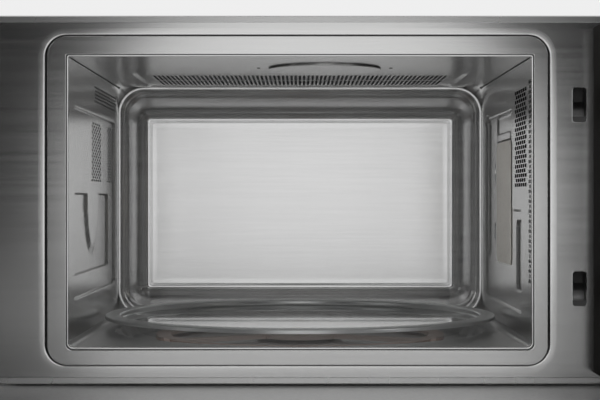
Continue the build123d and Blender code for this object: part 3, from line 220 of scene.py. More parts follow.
@drawn_later
def galvanised(wire, tone):
    """Zinc-coated casing sheet with its frosted spangle."""
    cells = {"Vector": stretched(wire, 70.0), "Scale": 1.0}
    spangle = wire.node("ShaderNodeTexVoronoi", cells, out="Color")
    flake = wire.node("ShaderNodeSeparateColor", {0: spangle}, out="Red")
    cloud = noise(wire, 9.0, 3.0)
    mark = flake * 0.5 + cloud * 0.5
    colour = tint(wire, mark, shade(tone, 0.92), shade(tone, 1.06))
    normal = relief(wire, noise(wire, 900.0), 0.06, 0.0003)
    return principled(wire, colour, 0.40 + flake * 0.08, Metallic=1.0, Normal=normal)


@drawn_later
def worked_metal(wire, tone, rough, grain=(60.0, 60.0, 900.0)):
    """Drawn or turned metal with light tool marks."""
    line = noise(wire, grain)
    cloud = noise(wire, 30.0, 3.0)
    colour = tint(wire, line * 0.6 + cloud * 0.4, shade(tone, 0.82), shade(tone, 1.12))
    normal = relief(wire, line, 0.08, 0.0003)
    return principled(wire, colour, rough + (cloud - 0.5) * 0.2, Metallic=1.0, Normal=normal)


@drawn_later
def moulded(wire, tone, rough, grain=1400.0, depth=0.12, cloudiness=0.12, **more):
    """Moulded plastic or rubber with a fine eroded grain and slight cloudiness."""
    skin = noise(wire, grain, 3.0, 0.6)
    cloud = noise(wire, 22.0, 3.0)
    mark = skin * 0.5 + cloud * 0.5
    colour = tint(wire, mark, shade(tone, 1 - cloudiness), shade(tone, 1 + cloudiness))
    normal = relief(wire, skin, depth, 0.0003)
    return principled(wire, colour, rough + (skin - 0.5) * 0.14, Normal=normal, **more)


@drawn_later
def glass(wire, tone, rough, through, coat=0.0):
    """Pane glass with faint waviness and wiped film."""
    wave = noise(wire, 16.0)
    film = noise(wire, (60.0, 60.0, 14.0), 4.0, 0.65)
    colour = tint(wire, film, shade(tone, 0.94), tone)
    normal = relief(wire, wave, 0.05, 0.002)
    extra = {"Transmission_Weight": through, "IOR": 1.5, "Coat_Weight": coat}
    return principled(wire, colour, rough + film.above(0.55, 0.3) * 0.05, Normal=normal, **extra)


@drawn_later
def pressed_glass(wire, cloudy, gloss):
    """Thick pressed glass: clear when looked straight through, mirror-like along its surface."""
    film = noise(wire, (24.0, 24.0, 14.0), 3.0, 0.55)
    colour = tint(wire, film, (0.62, 0.64, 0.635), (0.72, 0.74, 0.735))
    clear = principled(wire, colour, 0.08, Alpha=cloudy + film * 0.06, IOR=1.5)
    silver = tint(wire, film, (0.90, 0.92, 0.91), (0.97, 0.98, 0.975))
    shine = principled(wire, silver, 0.04, Metallic=1.0)
    along = wire.node("ShaderNodeLayerWeight", {"Blend": 0.5}, out="Facing")
    share = wire.maths("POWER", along, 3.0) * gloss
    return wire.node("ShaderNodeMixShader", {0: share, 1: clear, 2: shine})


def satin_glass(wire):
    """Ground edge of the tray: a soft grey shine with a little show-through."""
    film = noise(wire, (60.0, 60.0, 30.0), 4.0, 0.65)
    colour = tint(wire, film, (0.90, 0.92, 0.915), (0.97, 0.98, 0.975))
    return principled(wire, colour, 0.26 + film * 0.08, Metallic=0.7, Alpha=0.86 + film * 0.1)


@drawn_later
def glow(wire, tone):
    """Lit figures of a display, a little uneven."""
    cloud = noise(wire, 90.0)
    colour = tint(wire, cloud, shade(tone, 0.85), tone)
    return principled(wire, colour, 0.4, Emission_Color=colour, Emission_Strength=0.9)


def mica(wire):
    """Pressed mica sheet: pale flakes, darker specks and a dull sheen."""
    cells = {"Vector": stretched(wire, 160.0), "Scale": 1.0}
    flake = wire.node("ShaderNodeTexVoronoi", cells, out="Distance")
    cloud = noise(wire, 26.0, 4.0, 0.6)
    speck = noise(wire, 420.0).above(0.62, 0.1)
    base = tint(wire, flake * 0.4 + cloud * 0.6, (0.88, 0.84, 0.76), (0.98, 0.94, 0.87))
    dark = {0: speck * 0.35, 6: base, 7: (0.16, 0.13, 0.10, 1.0)}
    colour = wire.node("ShaderNodeMix", dark, out=2, data_type="RGBA", clamp_factor=True)
    normal = relief(wire, flake, 0.12, 0.0005)
    return principled(wire, colour, 0.30 + cloud * 0.12, Metallic=0.85, Normal=normal)


# Grain vectors: long along the brushing, short across it
ALONG_X = (14.0, 30.0, 900.0)
PAN_GRAIN = (9.0, 30.0, 520.0)
SOFT_GRAIN = (24.0, 5.0, 24.0)
TRIM_GRAIN = (40.0, 40.0, 12.0)
SMOOTH = {"contrast": 0.03, "depth": 0.0}
STEEL = (0.80, 0.80, 0.795)

LOOKS = {
    "stainless_front": brushed(STEEL, ALONG_X, 0.175),
    "stainless_cavity": brushed((0.75, 0.75, 0.745), SOFT_GRAIN, 0.25, **SMOOTH),
    "floor_steel": brushed((0.86, 0.86, 0.855), SOFT_GRAIN, 0.40, **SMOOTH),
    "pan_steel": brushed((0.91, 0.91, 0.91), PAN_GRAIN, 0.23, contrast=0.08),
    "trim_steel": brushed(STEEL, TRIM_GRAIN, 0.27, **SMOOTH),
    "mica": mica,
    "tray_glass": pressed_glass(0.04, 0.95),
    "tray_rim": satin_glass,
    "tray_under": pressed_glass(0.10, 0.08),
    "roller_plastic": moulded((0.84, 0.71, 0.65), 0.45),
    "coupler_plastic": moulded((0.55, 0.36, 0.16), 0.4),
    "galvanised": galvanised((0.50, 0.51, 0.52)),
    "black_plastic": moulded((0.011, 0.009, 0.007), 0.7, Specular_IOR_Level=0.25),
    "grey_plastic": moulded((0.16, 0.16, 0.16), 0.5),
    "lever_steel": worked_metal((0.50, 0.50, 0.50), 0.40),
    "dark_glass": glass((0.010, 0.010, 0.012), 0.05, 0.0, coat=0.6),
    "pane_glass": glass((0.55, 0.57, 0.57), 0.03, 0.92),
    "screen_steel": worked_metal((0.10, 0.10, 0.105), 0.45),
    "handle_steel": worked_metal((0.60, 0.60, 0.595), 0.24, (900.0, 900.0, 16.0)),
    "foot_rubber": moulded((0.022, 0.022, 0.022), 0.72, 700.0, 0.25),
    "inner_steel": worked_metal((0.47, 0.47, 0.48), 0.38),
    "core_steel": worked_metal((0.20, 0.205, 0.215), 0.5, (20.0, 1400.0, 20.0)),
    "can_aluminium": worked_metal((0.66, 0.67, 0.68), 0.3, (20.0, 600.0, 600.0)),
    "white_plastic": moulded((0.62, 0.61, 0.58), 0.4),
    "lamp_glass": glass((0.95, 0.94, 0.90), 0.06, 0.9),
    "board": moulded((0.10, 0.16, 0.07), 0.45, 500.0, 0.2, 0.3),
    "display": glass((0.020, 0.022, 0.024), 0.08, 0.0, coat=0.4),
    "screen_hole": moulded((0.006, 0.006, 0.006), 0.7),
    "legend": moulded((0.70, 0.70, 0.68), 0.5, 700.0, 0.05),
    "display_glow": glow((0.35, 0.75, 0.95)),
    "button": moulded((0.045, 0.045, 0.048), 0.35),
    "studio_floor": moulded((0.66, 0.66, 0.66), 0.22, 300.0, 0.0, 0.03, IOR=2.0),
    "screw_zinc": worked_metal((0.55, 0.55, 0.53), 0.3, (400.0, 400.0, 400.0)),
}
FINISHES = {name: finish(name, make) for name, make in LOOKS.items()}


def to_frame(points):
    """Millimetres about the mouth into metres of the model's frame."""
    return np.asarray(points, float) * MM + np.array(MOUTH)


def in_scene(name, data):
    """Object of a mesh, curve, camera or light, put in the scene."""
    made = bpy.data.objects.new(name, data)
    bpy.context.scene.collection.objects.link(made)
    return made


def reshaped(made, change):
    """Change a piece's mesh through its editable form."""
    shape = bmesh.new()
    shape.from_mesh(made.data)
    change(shape)
    shape.to_mesh(made.data)
    shape.free()
    return made


def coated(data, *looks):
    """Mesh with just these finishes."""
    data.materials.clear()
    for look in looks:
        data.materials.append(FINISHES[look])
    return data


def mesh_piece(name, points, faces, material):
    data = coated(bpy.data.meshes.new(name), material)
    data.from_pydata(to_frame(points).tolist(), [], [tuple(face) for face in faces])
    data.shade_smooth()
    return in_scene(name, data)


def creased(made, degrees=35.0):
    """Smooth shading that keeps flat faces flat, with edges left sharp where faces meet steeply."""
    made.data.shade_smooth()
    made.data.set_sharp_from_angle(angle=math.radians(degrees))
    flats = made.modifiers.new("flat_faces", "WEIGHTED_NORMAL")
    flats.keep_sharp = True
    return settled(made)


def final_mesh(made):
    """Mesh that an object comes to, with its modifiers or its curves worked out."""
    bpy.context.view_layer.update()
    return bpy.data.meshes.new_from_object(made.evaluated_get(bpy.context.evaluated_depsgraph_get()))


def settled(made):
    """Put what a piece's modifiers make into its own mesh."""
    data = final_mesh(made)
    made.modifiers.clear()
    made.data = data
    return made


def thickened(made, thickness=0.3):
    """Give a sheet its thickness, away from the side that shows."""
    shell = made.modifiers.new("sheet", "SOLIDIFY")
    shell.thickness = thickness * MM
    shell.offset = -1.0
    return creased(settled(made))


def cleaned(made, outward=False):
    """Merge doubled points, drop loose ones, and turn a closed shape's faces outwards."""

    def change(shape):
        bmesh.ops.remove_doubles(shape, verts=shape.verts, dist=MERGE_M)
        loose = [point for point in shape.verts if not point.link_faces]
        bmesh.ops.delete(shape, geom=loose, context="VERTS")
        if outward:
            bmesh.ops.recalc_face_normals(shape, faces=shape.faces)

    return reshaped(made, change)


def fitted(made, slot, *nodes, body="chassis"):
    """Set a finished piece on its body, and hide the CAD nodes it stands for. The finish slot is not used.
    """
    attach(made, body)
    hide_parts(*nodes)


def bar_faces(count):
    """Faces of a bar with the same outline of points at both ends."""
    ends = [tuple(range(count)), tuple(reversed(range(count, 2 * count)))]
    return ends + [(at, (at + 1) % count, count + (at + 1) % count, count + at) for at in range(count)]


# Sheets pressed on a grid whose lines follow the edges of their holes
GRID_STEP = 5.0
PRESS_R = 7.0
RECESS_DEPTH = 2.4
POCKET_DEPTH = 2.4
PRESS_SLOPE = 2.4
SOFT_SLOPE = 6.0
RECESS_SHIFT = 13.0
PRESS_LINES = (-6.0, -4.5, -3.5, -2.5, -1.5, -0.5, 0.5, 1.5)


def grid_lines(ends, edges):
    """Lines from end to end, through every edge, and closer than a step between them."""
    inside = {round(edge, 3) for edge in edges if ends[0] < edge < ends[1]}
    marks = sorted(inside | {round(ends[0], 3), round(ends[1], 3)})
    found = [marks[-1]]
    for low, high in zip(marks, marks[1:]):
        count = math.ceil((high - low) / GRID_STEP)
        found += [low + (high - low) * step / count for step in range(count)]
    return np.array(sorted(found))


def press_edges(axis, *pressings):
    """Lines close to both ends of each pressing along an axis, for its sloped walls."""
    ends = [pressing[axis] for pressing in pressings]
    return [edge for low, high in ends for by in PRESS_LINES for edge in (low - by, high + by)]


def slot_field(at, pitch, counts, slot):
    """Holes of a slot field, with every second row half a pitch along."""
    found = []
    for row in range(counts[1]):
        odd = row % 2
        v = at[1] + row * pitch[1]
        for column in range(counts[0] - odd):
            u = at[0] + (column + odd / 2) * pitch[0]
            found.append((u, u + slot[0], v, v + slot[1]))
    return found


def rounded_gap(u, v, us, vs, radius=PRESS_R):
    """Distance outside a rounded rectangle, below nought inside it."""
    du = np.abs(u - middle(us)) - half(us) + radius
    dv = np.abs(v - middle(vs)) - half(vs) + radius
    return np.hypot(np.maximum(du, 0), np.maximum(dv, 0)) + np.minimum(np.maximum(du, dv), 0) - radius


def sloped(gap, slope=PRESS_SLOPE):
    """Nought outside an outline and one inside it, with a rounded slope just inside the line."""
    share = np.clip((1.0 - gap) / slope, 0, 1)
    return share * share * (3 - 2 * share)


def pressed_sheet(name, u, v, holes, press, place_at, material="stainless_cavity", flip=False):
    """Sheet over a grid, pressed by a depth at each place, with its holes left open."""
    u = grid_lines(u[0], [edge for hole in holes for edge in hole[:2]] + u[1])
    v = grid_lines(v[0], [edge for hole in holes for edge in hole[2:]] + v[1])
    mid_u = (u[1:] + u[:-1]) / 2
    mid_v = (v[1:] + v[:-1]) / 2
    solid = np.ones((len(mid_u), len(mid_v)), bool)
    for u0, u1, v0, v1 in holes:
        solid &= ~np.outer((mid_u > u0) & (mid_u < u1), (mid_v > v0) & (mid_v < v1))
    all_u, all_v = np.meshgrid(u, v, indexing="ij")
    points = np.stack(place_at(all_u, all_v, press(all_u, all_v)), -1).reshape(-1, 3)
    number = np.arange(len(points)).reshape(all_u.shape)
    corners = [number[:-1, :-1], number[1:, :-1], number[1:, 1:], number[:-1, 1:]]
    faces = np.stack(corners[::-1] if flip else corners, -1)[solid]
    return thickened(cleaned(mesh_piece(name, points, faces.tolist(), material)))


# Left wall: a wide recess, a deeper pocket with a tongue from its top, and three slot fields
LEFT_RECESS = ((42.0, SIDE_DEPTH - 34.0), (-92.0, 90.0))
LEFT_POCKET = ((58.0, SIDE_DEPTH - 76.0), (-70.0, 8.5))
TONGUE_Y = 181.0
TONGUE_HALF = 43.0
TONGUE_TIP = -50.0


def tongue_gap(y, z):
    """Distance, near enough, outside the round-ended tongue that hangs into the left pocket."""
    top = LEFT_POCKET[1][1]
    across = (y - TONGUE_Y) / TONGUE_HALF
    down = np.minimum(z - top, 0) / (top - TONGUE_TIP)
    return (np.hypot(across, down) - 1) * 0.6 * TONGUE_HALF


def left_wall():
    holes = slot_field((SIDE_DEPTH - 198.0, 103.0), (9.2, 3.6), (19, 5), (7.0, 2.3))
    holes += slot_field((171.0, 21.5), (15.4, 3.1), (5, 20), (11.5, 2.0))
    holes += slot_field((SIDE_DEPTH - 82.0, 21.5), (14.0, 3.1), (3, 20), (10.5, 2.0))

    def press(y, z):
        recess = RECESS_DEPTH * sloped(rounded_gap(y, z, *LEFT_RECESS))
        pocket = POCKET_DEPTH * sloped(rounded_gap(y, z, *LEFT_POCKET))
        return recess + pocket * (1 - sloped(tongue_gap(y, z)))

    u = (WALL_Y, press_edges(0, LEFT_RECESS, LEFT_POCKET))
    v = (WALL_Z, press_edges(1, LEFT_RECESS, LEFT_POCKET))
    wall = pressed_sheet("left_wall", u, v, holes, press, lambda y, z, d: (-HALF_W - d, y, z))
    fitted(wall, "stainless_cavity", "cavity_left_wall")


# Right wall: a recess with a foot, a rear channel, two pockets, a tab over the mica, and two slot fields
RIGHT_RECESS = ((130.0, SIDE_DEPTH - 37.0), (-107.0, 92.0))
RIGHT_FOOT = ((70.0, 150.0), (-107.0, -8.0))
CHANNEL = ((SIDE_DEPTH - 70.0, SIDE_DEPTH - 46.0), (-61.0, 96.0))
FRONT_POCKET = ((78.0, 116.0), (-86.0, -18.0))
TAB_POCKET = ((152.0, 256.0), (62.0, 91.0))
TAB = ((156.0, 250.0), (64.5, 72.0))
TAB_DEPTH = 1.6
CLIP_SLITS = [(269.0, 275.0, 22.5, 41.0), (269.0, 275.0, -41.5, -22.7)]


def right_wall():
    holes = slot_field((38.0, 14.8), (12.5, 4.5), (6, 21), (10.4, 3.5))
    holes += slot_field((9.0, -74.5), (9.5, 4.6), (2, 41), (7.2, 3.2))
    holes += CLIP_SLITS

    def press(y, z):
        wide = np.minimum(rounded_gap(y, z, *RIGHT_RECESS), rounded_gap(y, z, *RIGHT_FOOT))
        found = RECESS_DEPTH * sloped(wide)
        for pocket in (CHANNEL, FRONT_POCKET):
            found = found + POCKET_DEPTH * sloped(rounded_gap(y, z, *pocket))
        tab = sloped(rounded_gap(y, z, *TAB, 1.0), 2.0)
        return found + TAB_DEPTH * (sloped(rounded_gap(y, z, *TAB_POCKET, 3.0), 3.0) - 1.4 * tab)

    pressings = (RIGHT_RECESS, RIGHT_FOOT, CHANNEL, FRONT_POCKET, TAB_POCKET, TAB)
    u = (WALL_Y, press_edges(0, *pressings))
    v = (WALL_Z, press_edges(1, *pressings))
    wall = pressed_sheet("right_wall", u, v, holes, press, lambda y, z, d: (HALF_W + d, y, z), flip=True)
    fitted(wall, "stainless_cavity", "cavity_right_wall")


# Ceiling: faint pressed rectangle, two rows of grille slots, clip slots round the disc and small clip marks
GRILLE_HALF = 157.0
GRILLE_COUNT = 69
GRILLE_SLOT = 2.5
GRILLE_ROWS = ((SIDE_DEPTH - 139.0, SIDE_DEPTH - 79.0), (SIDE_DEPTH - 72.0, SIDE_DEPTH - 14.0))
EMBOSS = ((-176.0, 176.0), (SIDE_DEPTH - 184.0, SIDE_DEPTH - 3.0))
EMBOSS_RISE = 2.0
DISC = (middle(span("ceiling_disc", 0)), middle(span("ceiling_disc", 1)))
DISC_R = half(span("ceiling_disc", 0))
DISC_CLIP_R = 66.0
DISC_DEPTH = 2.2
CEILING_MARKS = ((-150.0, 173.0), (164.0, 259.0), (188.0, 37.0), (198.0, 129.0), (201.0, 296.0))
CEILING_MARK = (3.0, 1.0)
DISC_CLIP = (5.0, 1.5)


def hole_at(x, y, wide, deep):
    """Hole by its middle and its half sizes."""
    return (x - wide, x + wide, y - deep, y + deep)


def ceiling():
    holes = []
    for index in range(GRILLE_COUNT):
        x = -GRILLE_HALF + 2 * GRILLE_HALF * index / (GRILLE_COUNT - 1)
        holes += [(x - GRILLE_SLOT / 2, x + GRILLE_SLOT / 2, *row) for row in GRILLE_ROWS]
    for turn in (0, 90, 270):
        x = DISC[0] + DISC_CLIP_R * math.sin(math.radians(turn))
        y = DISC[1] - DISC_CLIP_R * math.cos(math.radians(turn))
        holes.append(hole_at(x, y, *(DISC_CLIP if turn == 0 else DISC_CLIP[::-1])))
    holes += [hole_at(x, y, *CEILING_MARK) for x, y in CEILING_MARKS]

    def press(x, y):
        return EMBOSS_RISE * sloped(rounded_gap(x, y, *EMBOSS), SOFT_SLOPE)

    edge = HALF_W + SHEET / 2
    u = ((-edge, edge), press_edges(0, EMBOSS))
    v = (WALL_Y, press_edges(1, EMBOSS))
    sheet = pressed_sheet("ceiling", u, v, holes, press, lambda x, y, d: (x, y, HALF_H + d), flip=True)
    fitted(sheet, "stainless_cavity", "cavity_ceiling")


# Floor: rolled up into the side walls, with a round well that runs on into the pan
def floor():
    table_back = TABLE_Y + SCOOP_R

    def press(x, y):
        roll = np.clip(np.abs(x) - HALF_W + FLOOR_R, 0, FLOOR_R)
        rise = FLOOR_R - np.sqrt(FLOOR_R**2 - roll**2)
        well = sloped(np.hypot(x, y - TABLE_Y) - WELL_R, SOFT_SLOPE)
        return rise + (WELL_Z + HALF_H) * well

    roll_lines = [HALF_W - FLOOR_R * step / 6 for step in range(7)]
    u = ((-HALF_W, HALF_W), roll_lines + [-line for line in roll_lines])
    v = ((SHEET, table_back), [SIDE_DEPTH])
    sheet = pressed_sheet("floor", u, v, [], press, lambda x, y, d: (x, y, d - HALF_H), "floor_steel")

    def round_off(shape):
        spare = []
        for face in shape.faces:
            x, y = ((np.array(face.calc_center_median()) - np.array(MOUTH)) / MM)[:2]
            if y > SIDE_DEPTH and math.hypot(x, y - TABLE_Y) > SCOOP_R:
                spare.append(face)
        bmesh.ops.delete(shape, geom=spare, context="FACES")

    fitted(reshaped(sheet, round_off), "stainless_cavity", "cavity_floor")


# Pieces lofted through rounded outlines that stand across the depth
CORNER_STEPS = 12
SIDE_STEPS = (30, 56)


def outline(x, z, y, low_r, high_r=None):
    """Points round a rounded rectangle, anticlockwise seen from the front."""
    high_r = low_r if high_r is None else high_r
    corners = (
        (x[1] - low_r, z[0] + low_r, low_r, -90),
        (x[1] - high_r, z[1] - high_r, high_r, 0),
        (x[0] + high_r, z[1] - high_r, high_r, 90),
        (x[0] + low_r, z[0] + low_r, low_r, 180),
    )
    arcs = []
    for cx, cz, radius, start in corners:
        turns = [math.radians(start + 90 * step / CORNER_STEPS) for step in range(CORNER_STEPS + 1)]
        arcs.append([(cx + radius * math.cos(turn), cz + radius * math.sin(turn)) for turn in turns])
    found = []
    for index, arc in enumerate(arcs):
        found += arc
        first, last = np.array(arc[-1]), np.array(arcs[(index + 1) % 4][0])
        steps = SIDE_STEPS[index % 2]
        found += [tuple(first + (last - first) * step / steps) for step in range(1, steps)]
    return np.array([(px, y, pz) for px, pz in found])


def lofted(name, rings, material, capped=False):
    """Skin through rings, from the outermost or front ring inwards; it faces the front and the inside."""
    count = len(rings[0])
    faces = []
    for ring in range(len(rings) - 1):
        low, high = ring * count, (ring + 1) * count
        for step in range(count):
            following = (step + 1) % count
            faces.append((low + step, low + following, high + following, high + step))
    if capped:
        faces.append(tuple(range((len(rings) - 1) * count, len(rings) * count)))
    return mesh_piece(name, np.concatenate(rings), faces, material)


# Rear pan: rolled bead at its mouth, sloped walls, a groove, the raised panel, and a scoop behind the tray
PAN_BEAD = (
    (-1.0, 0.0), (-0.9, -2.0), (-0.6, -2.8), (-0.1, -3.25), (0.5, -3.42), (1.9, -3.38), (2.6, -3.2),
    (3.0, -2.6), (3.3, -1.6), (3.7, 0.4), (4.3, 2.2), (5.2, 3.3), (6.2, 3.8), (7.0, 4.4), (7.5, 5.6),
)
PAN_FILLET = 6.0
PAN_BORDER = tuple(
    (-5.0 + PAN_FILLET * (1 - math.cos(turn)), -3.7 - PAN_FILLET * (1 - math.sin(turn)))
    for turn in np.radians(np.linspace(18, 90, 9))
) + ((2.2, -3.72), (3.2, -3.85), (4.0, -4.1), (4.8, -4.22), (5.6, -4.2), (9.0, -4.0), (12.0, -3.98))
PAN_WALL_STEPS = 12


def pan_ring(share, inset, y):
    """Outline between the pan's mouth and its floor, drawn in by an inset."""
    reach = HALF_W + (PAN_FLOOR_X[1] - HALF_W) * share - inset
    low = -HALF_H + (PAN_FLOOR_Z[0] + HALF_H) * share + inset
    high = HALF_H + (PAN_FLOOR_Z[1] - HALF_H) * share - inset
    radius = PAN_MOUTH_R + (PAN_FLOOR_R - PAN_MOUTH_R) * share
    return outline((-reach, reach), (low, high), y, max(radius - inset * 0.5, 2.5))


def rear_pan():
    depth = PAN_Y - SIDE_DEPTH
    rings = [outline((-HALF_W, HALF_W), (-HALF_H, HALF_H), SIDE_DEPTH - 0.4, 3.0)]
    rings += [pan_ring(0.0, inset, SIDE_DEPTH + y) for inset, y in PAN_BEAD]
    last_inset, last_y = PAN_BORDER[0][0] - 0.5, depth + PAN_BORDER[0][1] - 3.0
    first_inset, first_y = PAN_BEAD[-1]
    for step in range(1, PAN_WALL_STEPS + 1):
        y = first_y + (last_y - first_y) * step / PAN_WALL_STEPS
        inset = first_inset + (last_inset - first_inset) * step / PAN_WALL_STEPS
        rings.append(pan_ring(y / depth, inset, SIDE_DEPTH + y))
    rings += [pan_ring(1.0, inset, PAN_Y + y) for inset, y in PAN_BORDER]
    pan = thickened(cleaned(lofted("rear_pan", rings, "pan_steel", capped=True)), 0.6)
    low, high, reach = -HALF_H - 20.0, TRAY_Z[1] + 3.0, SCOOP_R - 3.0
    bite = [(0.0, low), (reach, low), (reach, high), (0.0, high)]
    cutter = turned("scoop_cutter", bite, (0.0, TABLE_Y), 128, "pan_steel")
    fitted(creased(cut(pan, [cutter])), "stainless_cavity", "cavity_back_pan")


# Front plate with its rolled shoulder, and the flange inside the groove
SHOULDER = (
    (6.4, 0.0), (6.2, 0.002), (5.0, 0.014), (3.6, 0.036), (2.2, 0.072), (1.2, 0.105), (0.6, 0.16),
    (0.2, 0.45), (0.0, 1.2),
)
FLANGE_EDGE = ((-1.5, 0.0), (-1.25, 0.06), (-1.1, 0.3), (-1.05, 2.2))
FLANGE_RIM = ((0.0, GROOVE_DEPTH), (0.0, 1.0), (0.2, 0.35), (0.6, 0.0))
MOUTH_HEM = (
    (-1.0, 2.4), (-0.8, 1.2), (-0.5, 0.6), (0.0, 0.45), (0.6, 0.5), (1.0, 0.75), (1.15, 1.4), (1.15, 3.6),
)
SLOT_RIM = ((0.55, -0.04), (0.3, -0.1), (0.05, 0.1), (0.0, 0.5), (0.0, 2.4))
# Rings of the dark sheet behind the groove, which paints shade into the gap round the flange
GROOVE_SHADOW = ((9.0, 10.0), (8.0, 8.6), (-4.0, 8.6), (-5.0, 10.0))
FLAT_ANGLE = 8.0


def groove_ring(grow, y):
    return outline(grown(GROOVE_X, grow), grown(GROOVE_Z, grow), y, GROOVE_R + grow)


def cut(made, cutters):
    """Take cutters out of a piece."""
    for cutter in cutters:
        change = made.modifiers.new("cut", "BOOLEAN")
        change.operation = "DIFFERENCE"
        change.solver = "EXACT"
        change.object = cutter
    settled(made)
    for cutter in cutters:
        bpy.data.objects.remove(cutter)
    return made


def front_plate():
    rings = [outline(PLATE_X, PLATE_Z, 0.0, 1.5)]
    rings += [groove_ring(grow, y) for grow, y in SHOULDER]
    rings += [groove_ring(0.0, GROOVE_DEPTH)]
    plate = thickened(lofted("front_plate_sheet", rings, "stainless_front"))
    cutters = []
    for ends in SLOT_Z:
        walls = [outline(SLOT_X, ends, y, SLOT_R) for y in (-4 * SHEET, 4 * SHEET)]
        cutter = lofted("slot_cutter", walls, "stainless_front", capped=True)
        cutters.append(cleaned(capped_front(cutter), outward=True))
    fitted(creased(cut(plate, cutters)), "stainless_front", "front_plate")


def capped_front(made):
    """Close the open front of a lofted bar."""

    def close(shape):
        rim = [edge for edge in shape.edges if edge.is_boundary]
        bmesh.ops.contextual_create(shape, geom=rim)

    return reshaped(made, close)


def slot_rims():
    """Rolled edges of the two latch slots."""
    rims = []
    for ends in SLOT_Z:
        rings = [outline(grown(SLOT_X, grow), grown(ends, grow), y, SLOT_R + grow) for grow, y in SLOT_RIM]
        rims.append(lofted("slot_rim", rings, "stainless_front"))
    fitted(creased(joined("latch_slot_rims", rims)), "stainless_front")


def joined(name, parts):
    """One piece from several, all drawn in place."""
    shape = bmesh.new()
    for part in parts:
        shape.from_mesh(part.data)
    data = bpy.data.meshes.new(name)
    shape.to_mesh(data)
    shape.free()
    data.materials.append(parts[0].data.materials[0])
    for part in parts:
        bpy.data.objects.remove(part)
    return in_scene(name, data)


def mouth_ring(inset, y):
    ends_x, ends_z = (inset - HALF_W, HALF_W - inset), (inset - HALF_H, HALF_H - inset)
    return outline(ends_x, ends_z, y, FLOOR_R, 1.5)


def flange():
    rings = []
    for inset, y in FLANGE_RIM:
        rings.append(outline(grown(FLANGE_X, -inset), grown(FLANGE_Z, -inset), y, GROOVE_R - 1.5 - inset))
    rings += [mouth_ring(inset, y) for inset, y in FLANGE_EDGE]
    sheet = thickened(lofted("cavity_flange_sheet", rings, "stainless_front"))
    hem = lofted("mouth_hem", [mouth_ring(inset, y) for inset, y in MOUTH_HEM], "stainless_front")
    shown = creased(joined("cavity_flange_shown", [sheet, hem]), FLAT_ANGLE)
    fitted(shown, "stainless_front", "cavity_flange")


def groove_gasket():
    """Dark sheet behind the groove: painted shade that darkens the gap round the flange."""
    rings = [groove_ring(grow, y) for grow, y in GROOVE_SHADOW]
    shadow_sheet = thickened(lofted("groove_gasket", rings, "grey_plastic"), 0.6)
    fitted(shadow_sheet, "foot_rubber")


# Turned pieces
def eased(profile, radius, steps=5):
    """A profile with its corners rounded."""
    found = [profile[0]]
    for before, corner, after in zip(profile, profile[1:], profile[2:]):
        corner = Vector(corner)
        back, on = Vector(before) - corner, Vector(after) - corner
        reach = min(radius, 0.45 * back.length, 0.45 * on.length)
        first, last = corner + back.normalized() * reach, corner + on.normalized() * reach
        for step in range(steps + 1):
            share = step / steps
            found.append(tuple(first.lerp(corner, share).lerp(corner.lerp(last, share), share)))
    return found + [profile[-1]]


def turned(name, profile, centre, steps, material):
    """Closed piece turned about an upright axis from a profile of radius and height."""
    points, faces = [], []
    for step in range(steps):
        turn = 2 * math.pi * step / steps
        points += [(centre[0] + r * math.cos(turn), centre[1] + r * math.sin(turn), z) for r, z in profile]
    count = len(profile)
    for step in range(steps):
        low, high = step * count, (step + 1) % steps * count
        for at in range(count - 1):
            corners = [low + at, high + at, high + at + 1, low + at + 1]
            if profile[at][0] == 0.0:
                corners.remove(high + at)
            if profile[at + 1][0] == 0.0:
                corners.remove(high + at + 1)
            faces.append(corners)
    return creased(cleaned(mesh_piece(name, points, faces, material), outward=True), 50.0)


def glass_tray():
    low, high = TRAY_Z
    under = [
        (0.0, low + 2.1), (14.5, low + 2.1), (14.5, low), (TRAY_BASE_R - 2.0, low),
        (TRAY_BASE_R + 2.0, low + 6.5), (TRAY_RIM_R, high - 4.4), (TRAY_R - 0.6, high - 3.4),
        (TRAY_R, high - 2.8), (TRAY_R, high + 0.4),
    ]
    over = [
        (TRAY_R - 1.2, high + 1.3), (TRAY_R - 6.0, high + 2.1), (TRAY_R - 12.0, high + 2.1),
        (TRAY_R - 15.6, high + 1.2), (TRAY_R - 16.6, high + 0.2), (TRAY_RIM_R + 1.0, high - 2.8),
        (TRAY_RIM_R, high - 4.0), (TRAY_FLOOR_R, high - TRAY_DIP), (0.0, high - TRAY_DIP),
    ]
    tray = turned("turntable_tray", eased(under + over, 0.7), (0.0, TABLE_Y), 160, "tray_glass")
    coated(tray.data, "tray_glass", "tray_rim", "tray_under")
    axis = Vector(to_frame((0.0, TABLE_Y, 0.0)))
    for face in tray.data.polygons:
        reach = (face.center - axis).to_2d().length / MM
        if face.normal.z < -0.2 or (reach < TRAY_RIM_R and face.normal.z < 0.5):
            face.material_index = 2
        elif reach > TRAY_RIM_R - 0.5:
            face.material_index = 1
    fitted(tray, "tray_glass", "glass_tray", body="turntable")


def ceiling_cover():
    high = span("ceiling_disc", 2)[1]
    low = high - DISC_DEPTH
    profile = [(0.0, high), (DISC_R, high), (DISC_R, low + 0.3), (DISC_R - 2.5, low), (0.0, low)]
    disc = turned("ceiling_cover", eased(profile, 1.2), DISC, 128, "stainless_cavity")
    fitted(disc, "stainless_cavity", "ceiling_disc")


# Pieces that keep the CAD shape, merged and with softened edges
SOFT_WIDTH = 0.4
SOFT_ANGLE = 40.0


def softened(node, look, body="chassis", slot=None):
    source = bpy.data.objects[node]
    data = coated(source.data.copy(), look)
    data.transform(source.matrix_world)
    made = in_scene(node + "_shown", data)

    def merge(shape):
        bmesh.ops.dissolve_limit(shape, angle_limit=math.radians(1.0), verts=shape.verts, edges=shape.edges)

    reshaped(cleaned(made), merge)
    bevel = made.modifiers.new("soft_edges", "BEVEL")
    bevel.width = SOFT_WIDTH * MM
    bevel.segments = 2
    bevel.limit_method = "ANGLE"
    bevel.angle_limit = math.radians(SOFT_ANGLE)
    fitted(creased(settled(made), SOFT_ANGLE), slot or look, node, body=body)


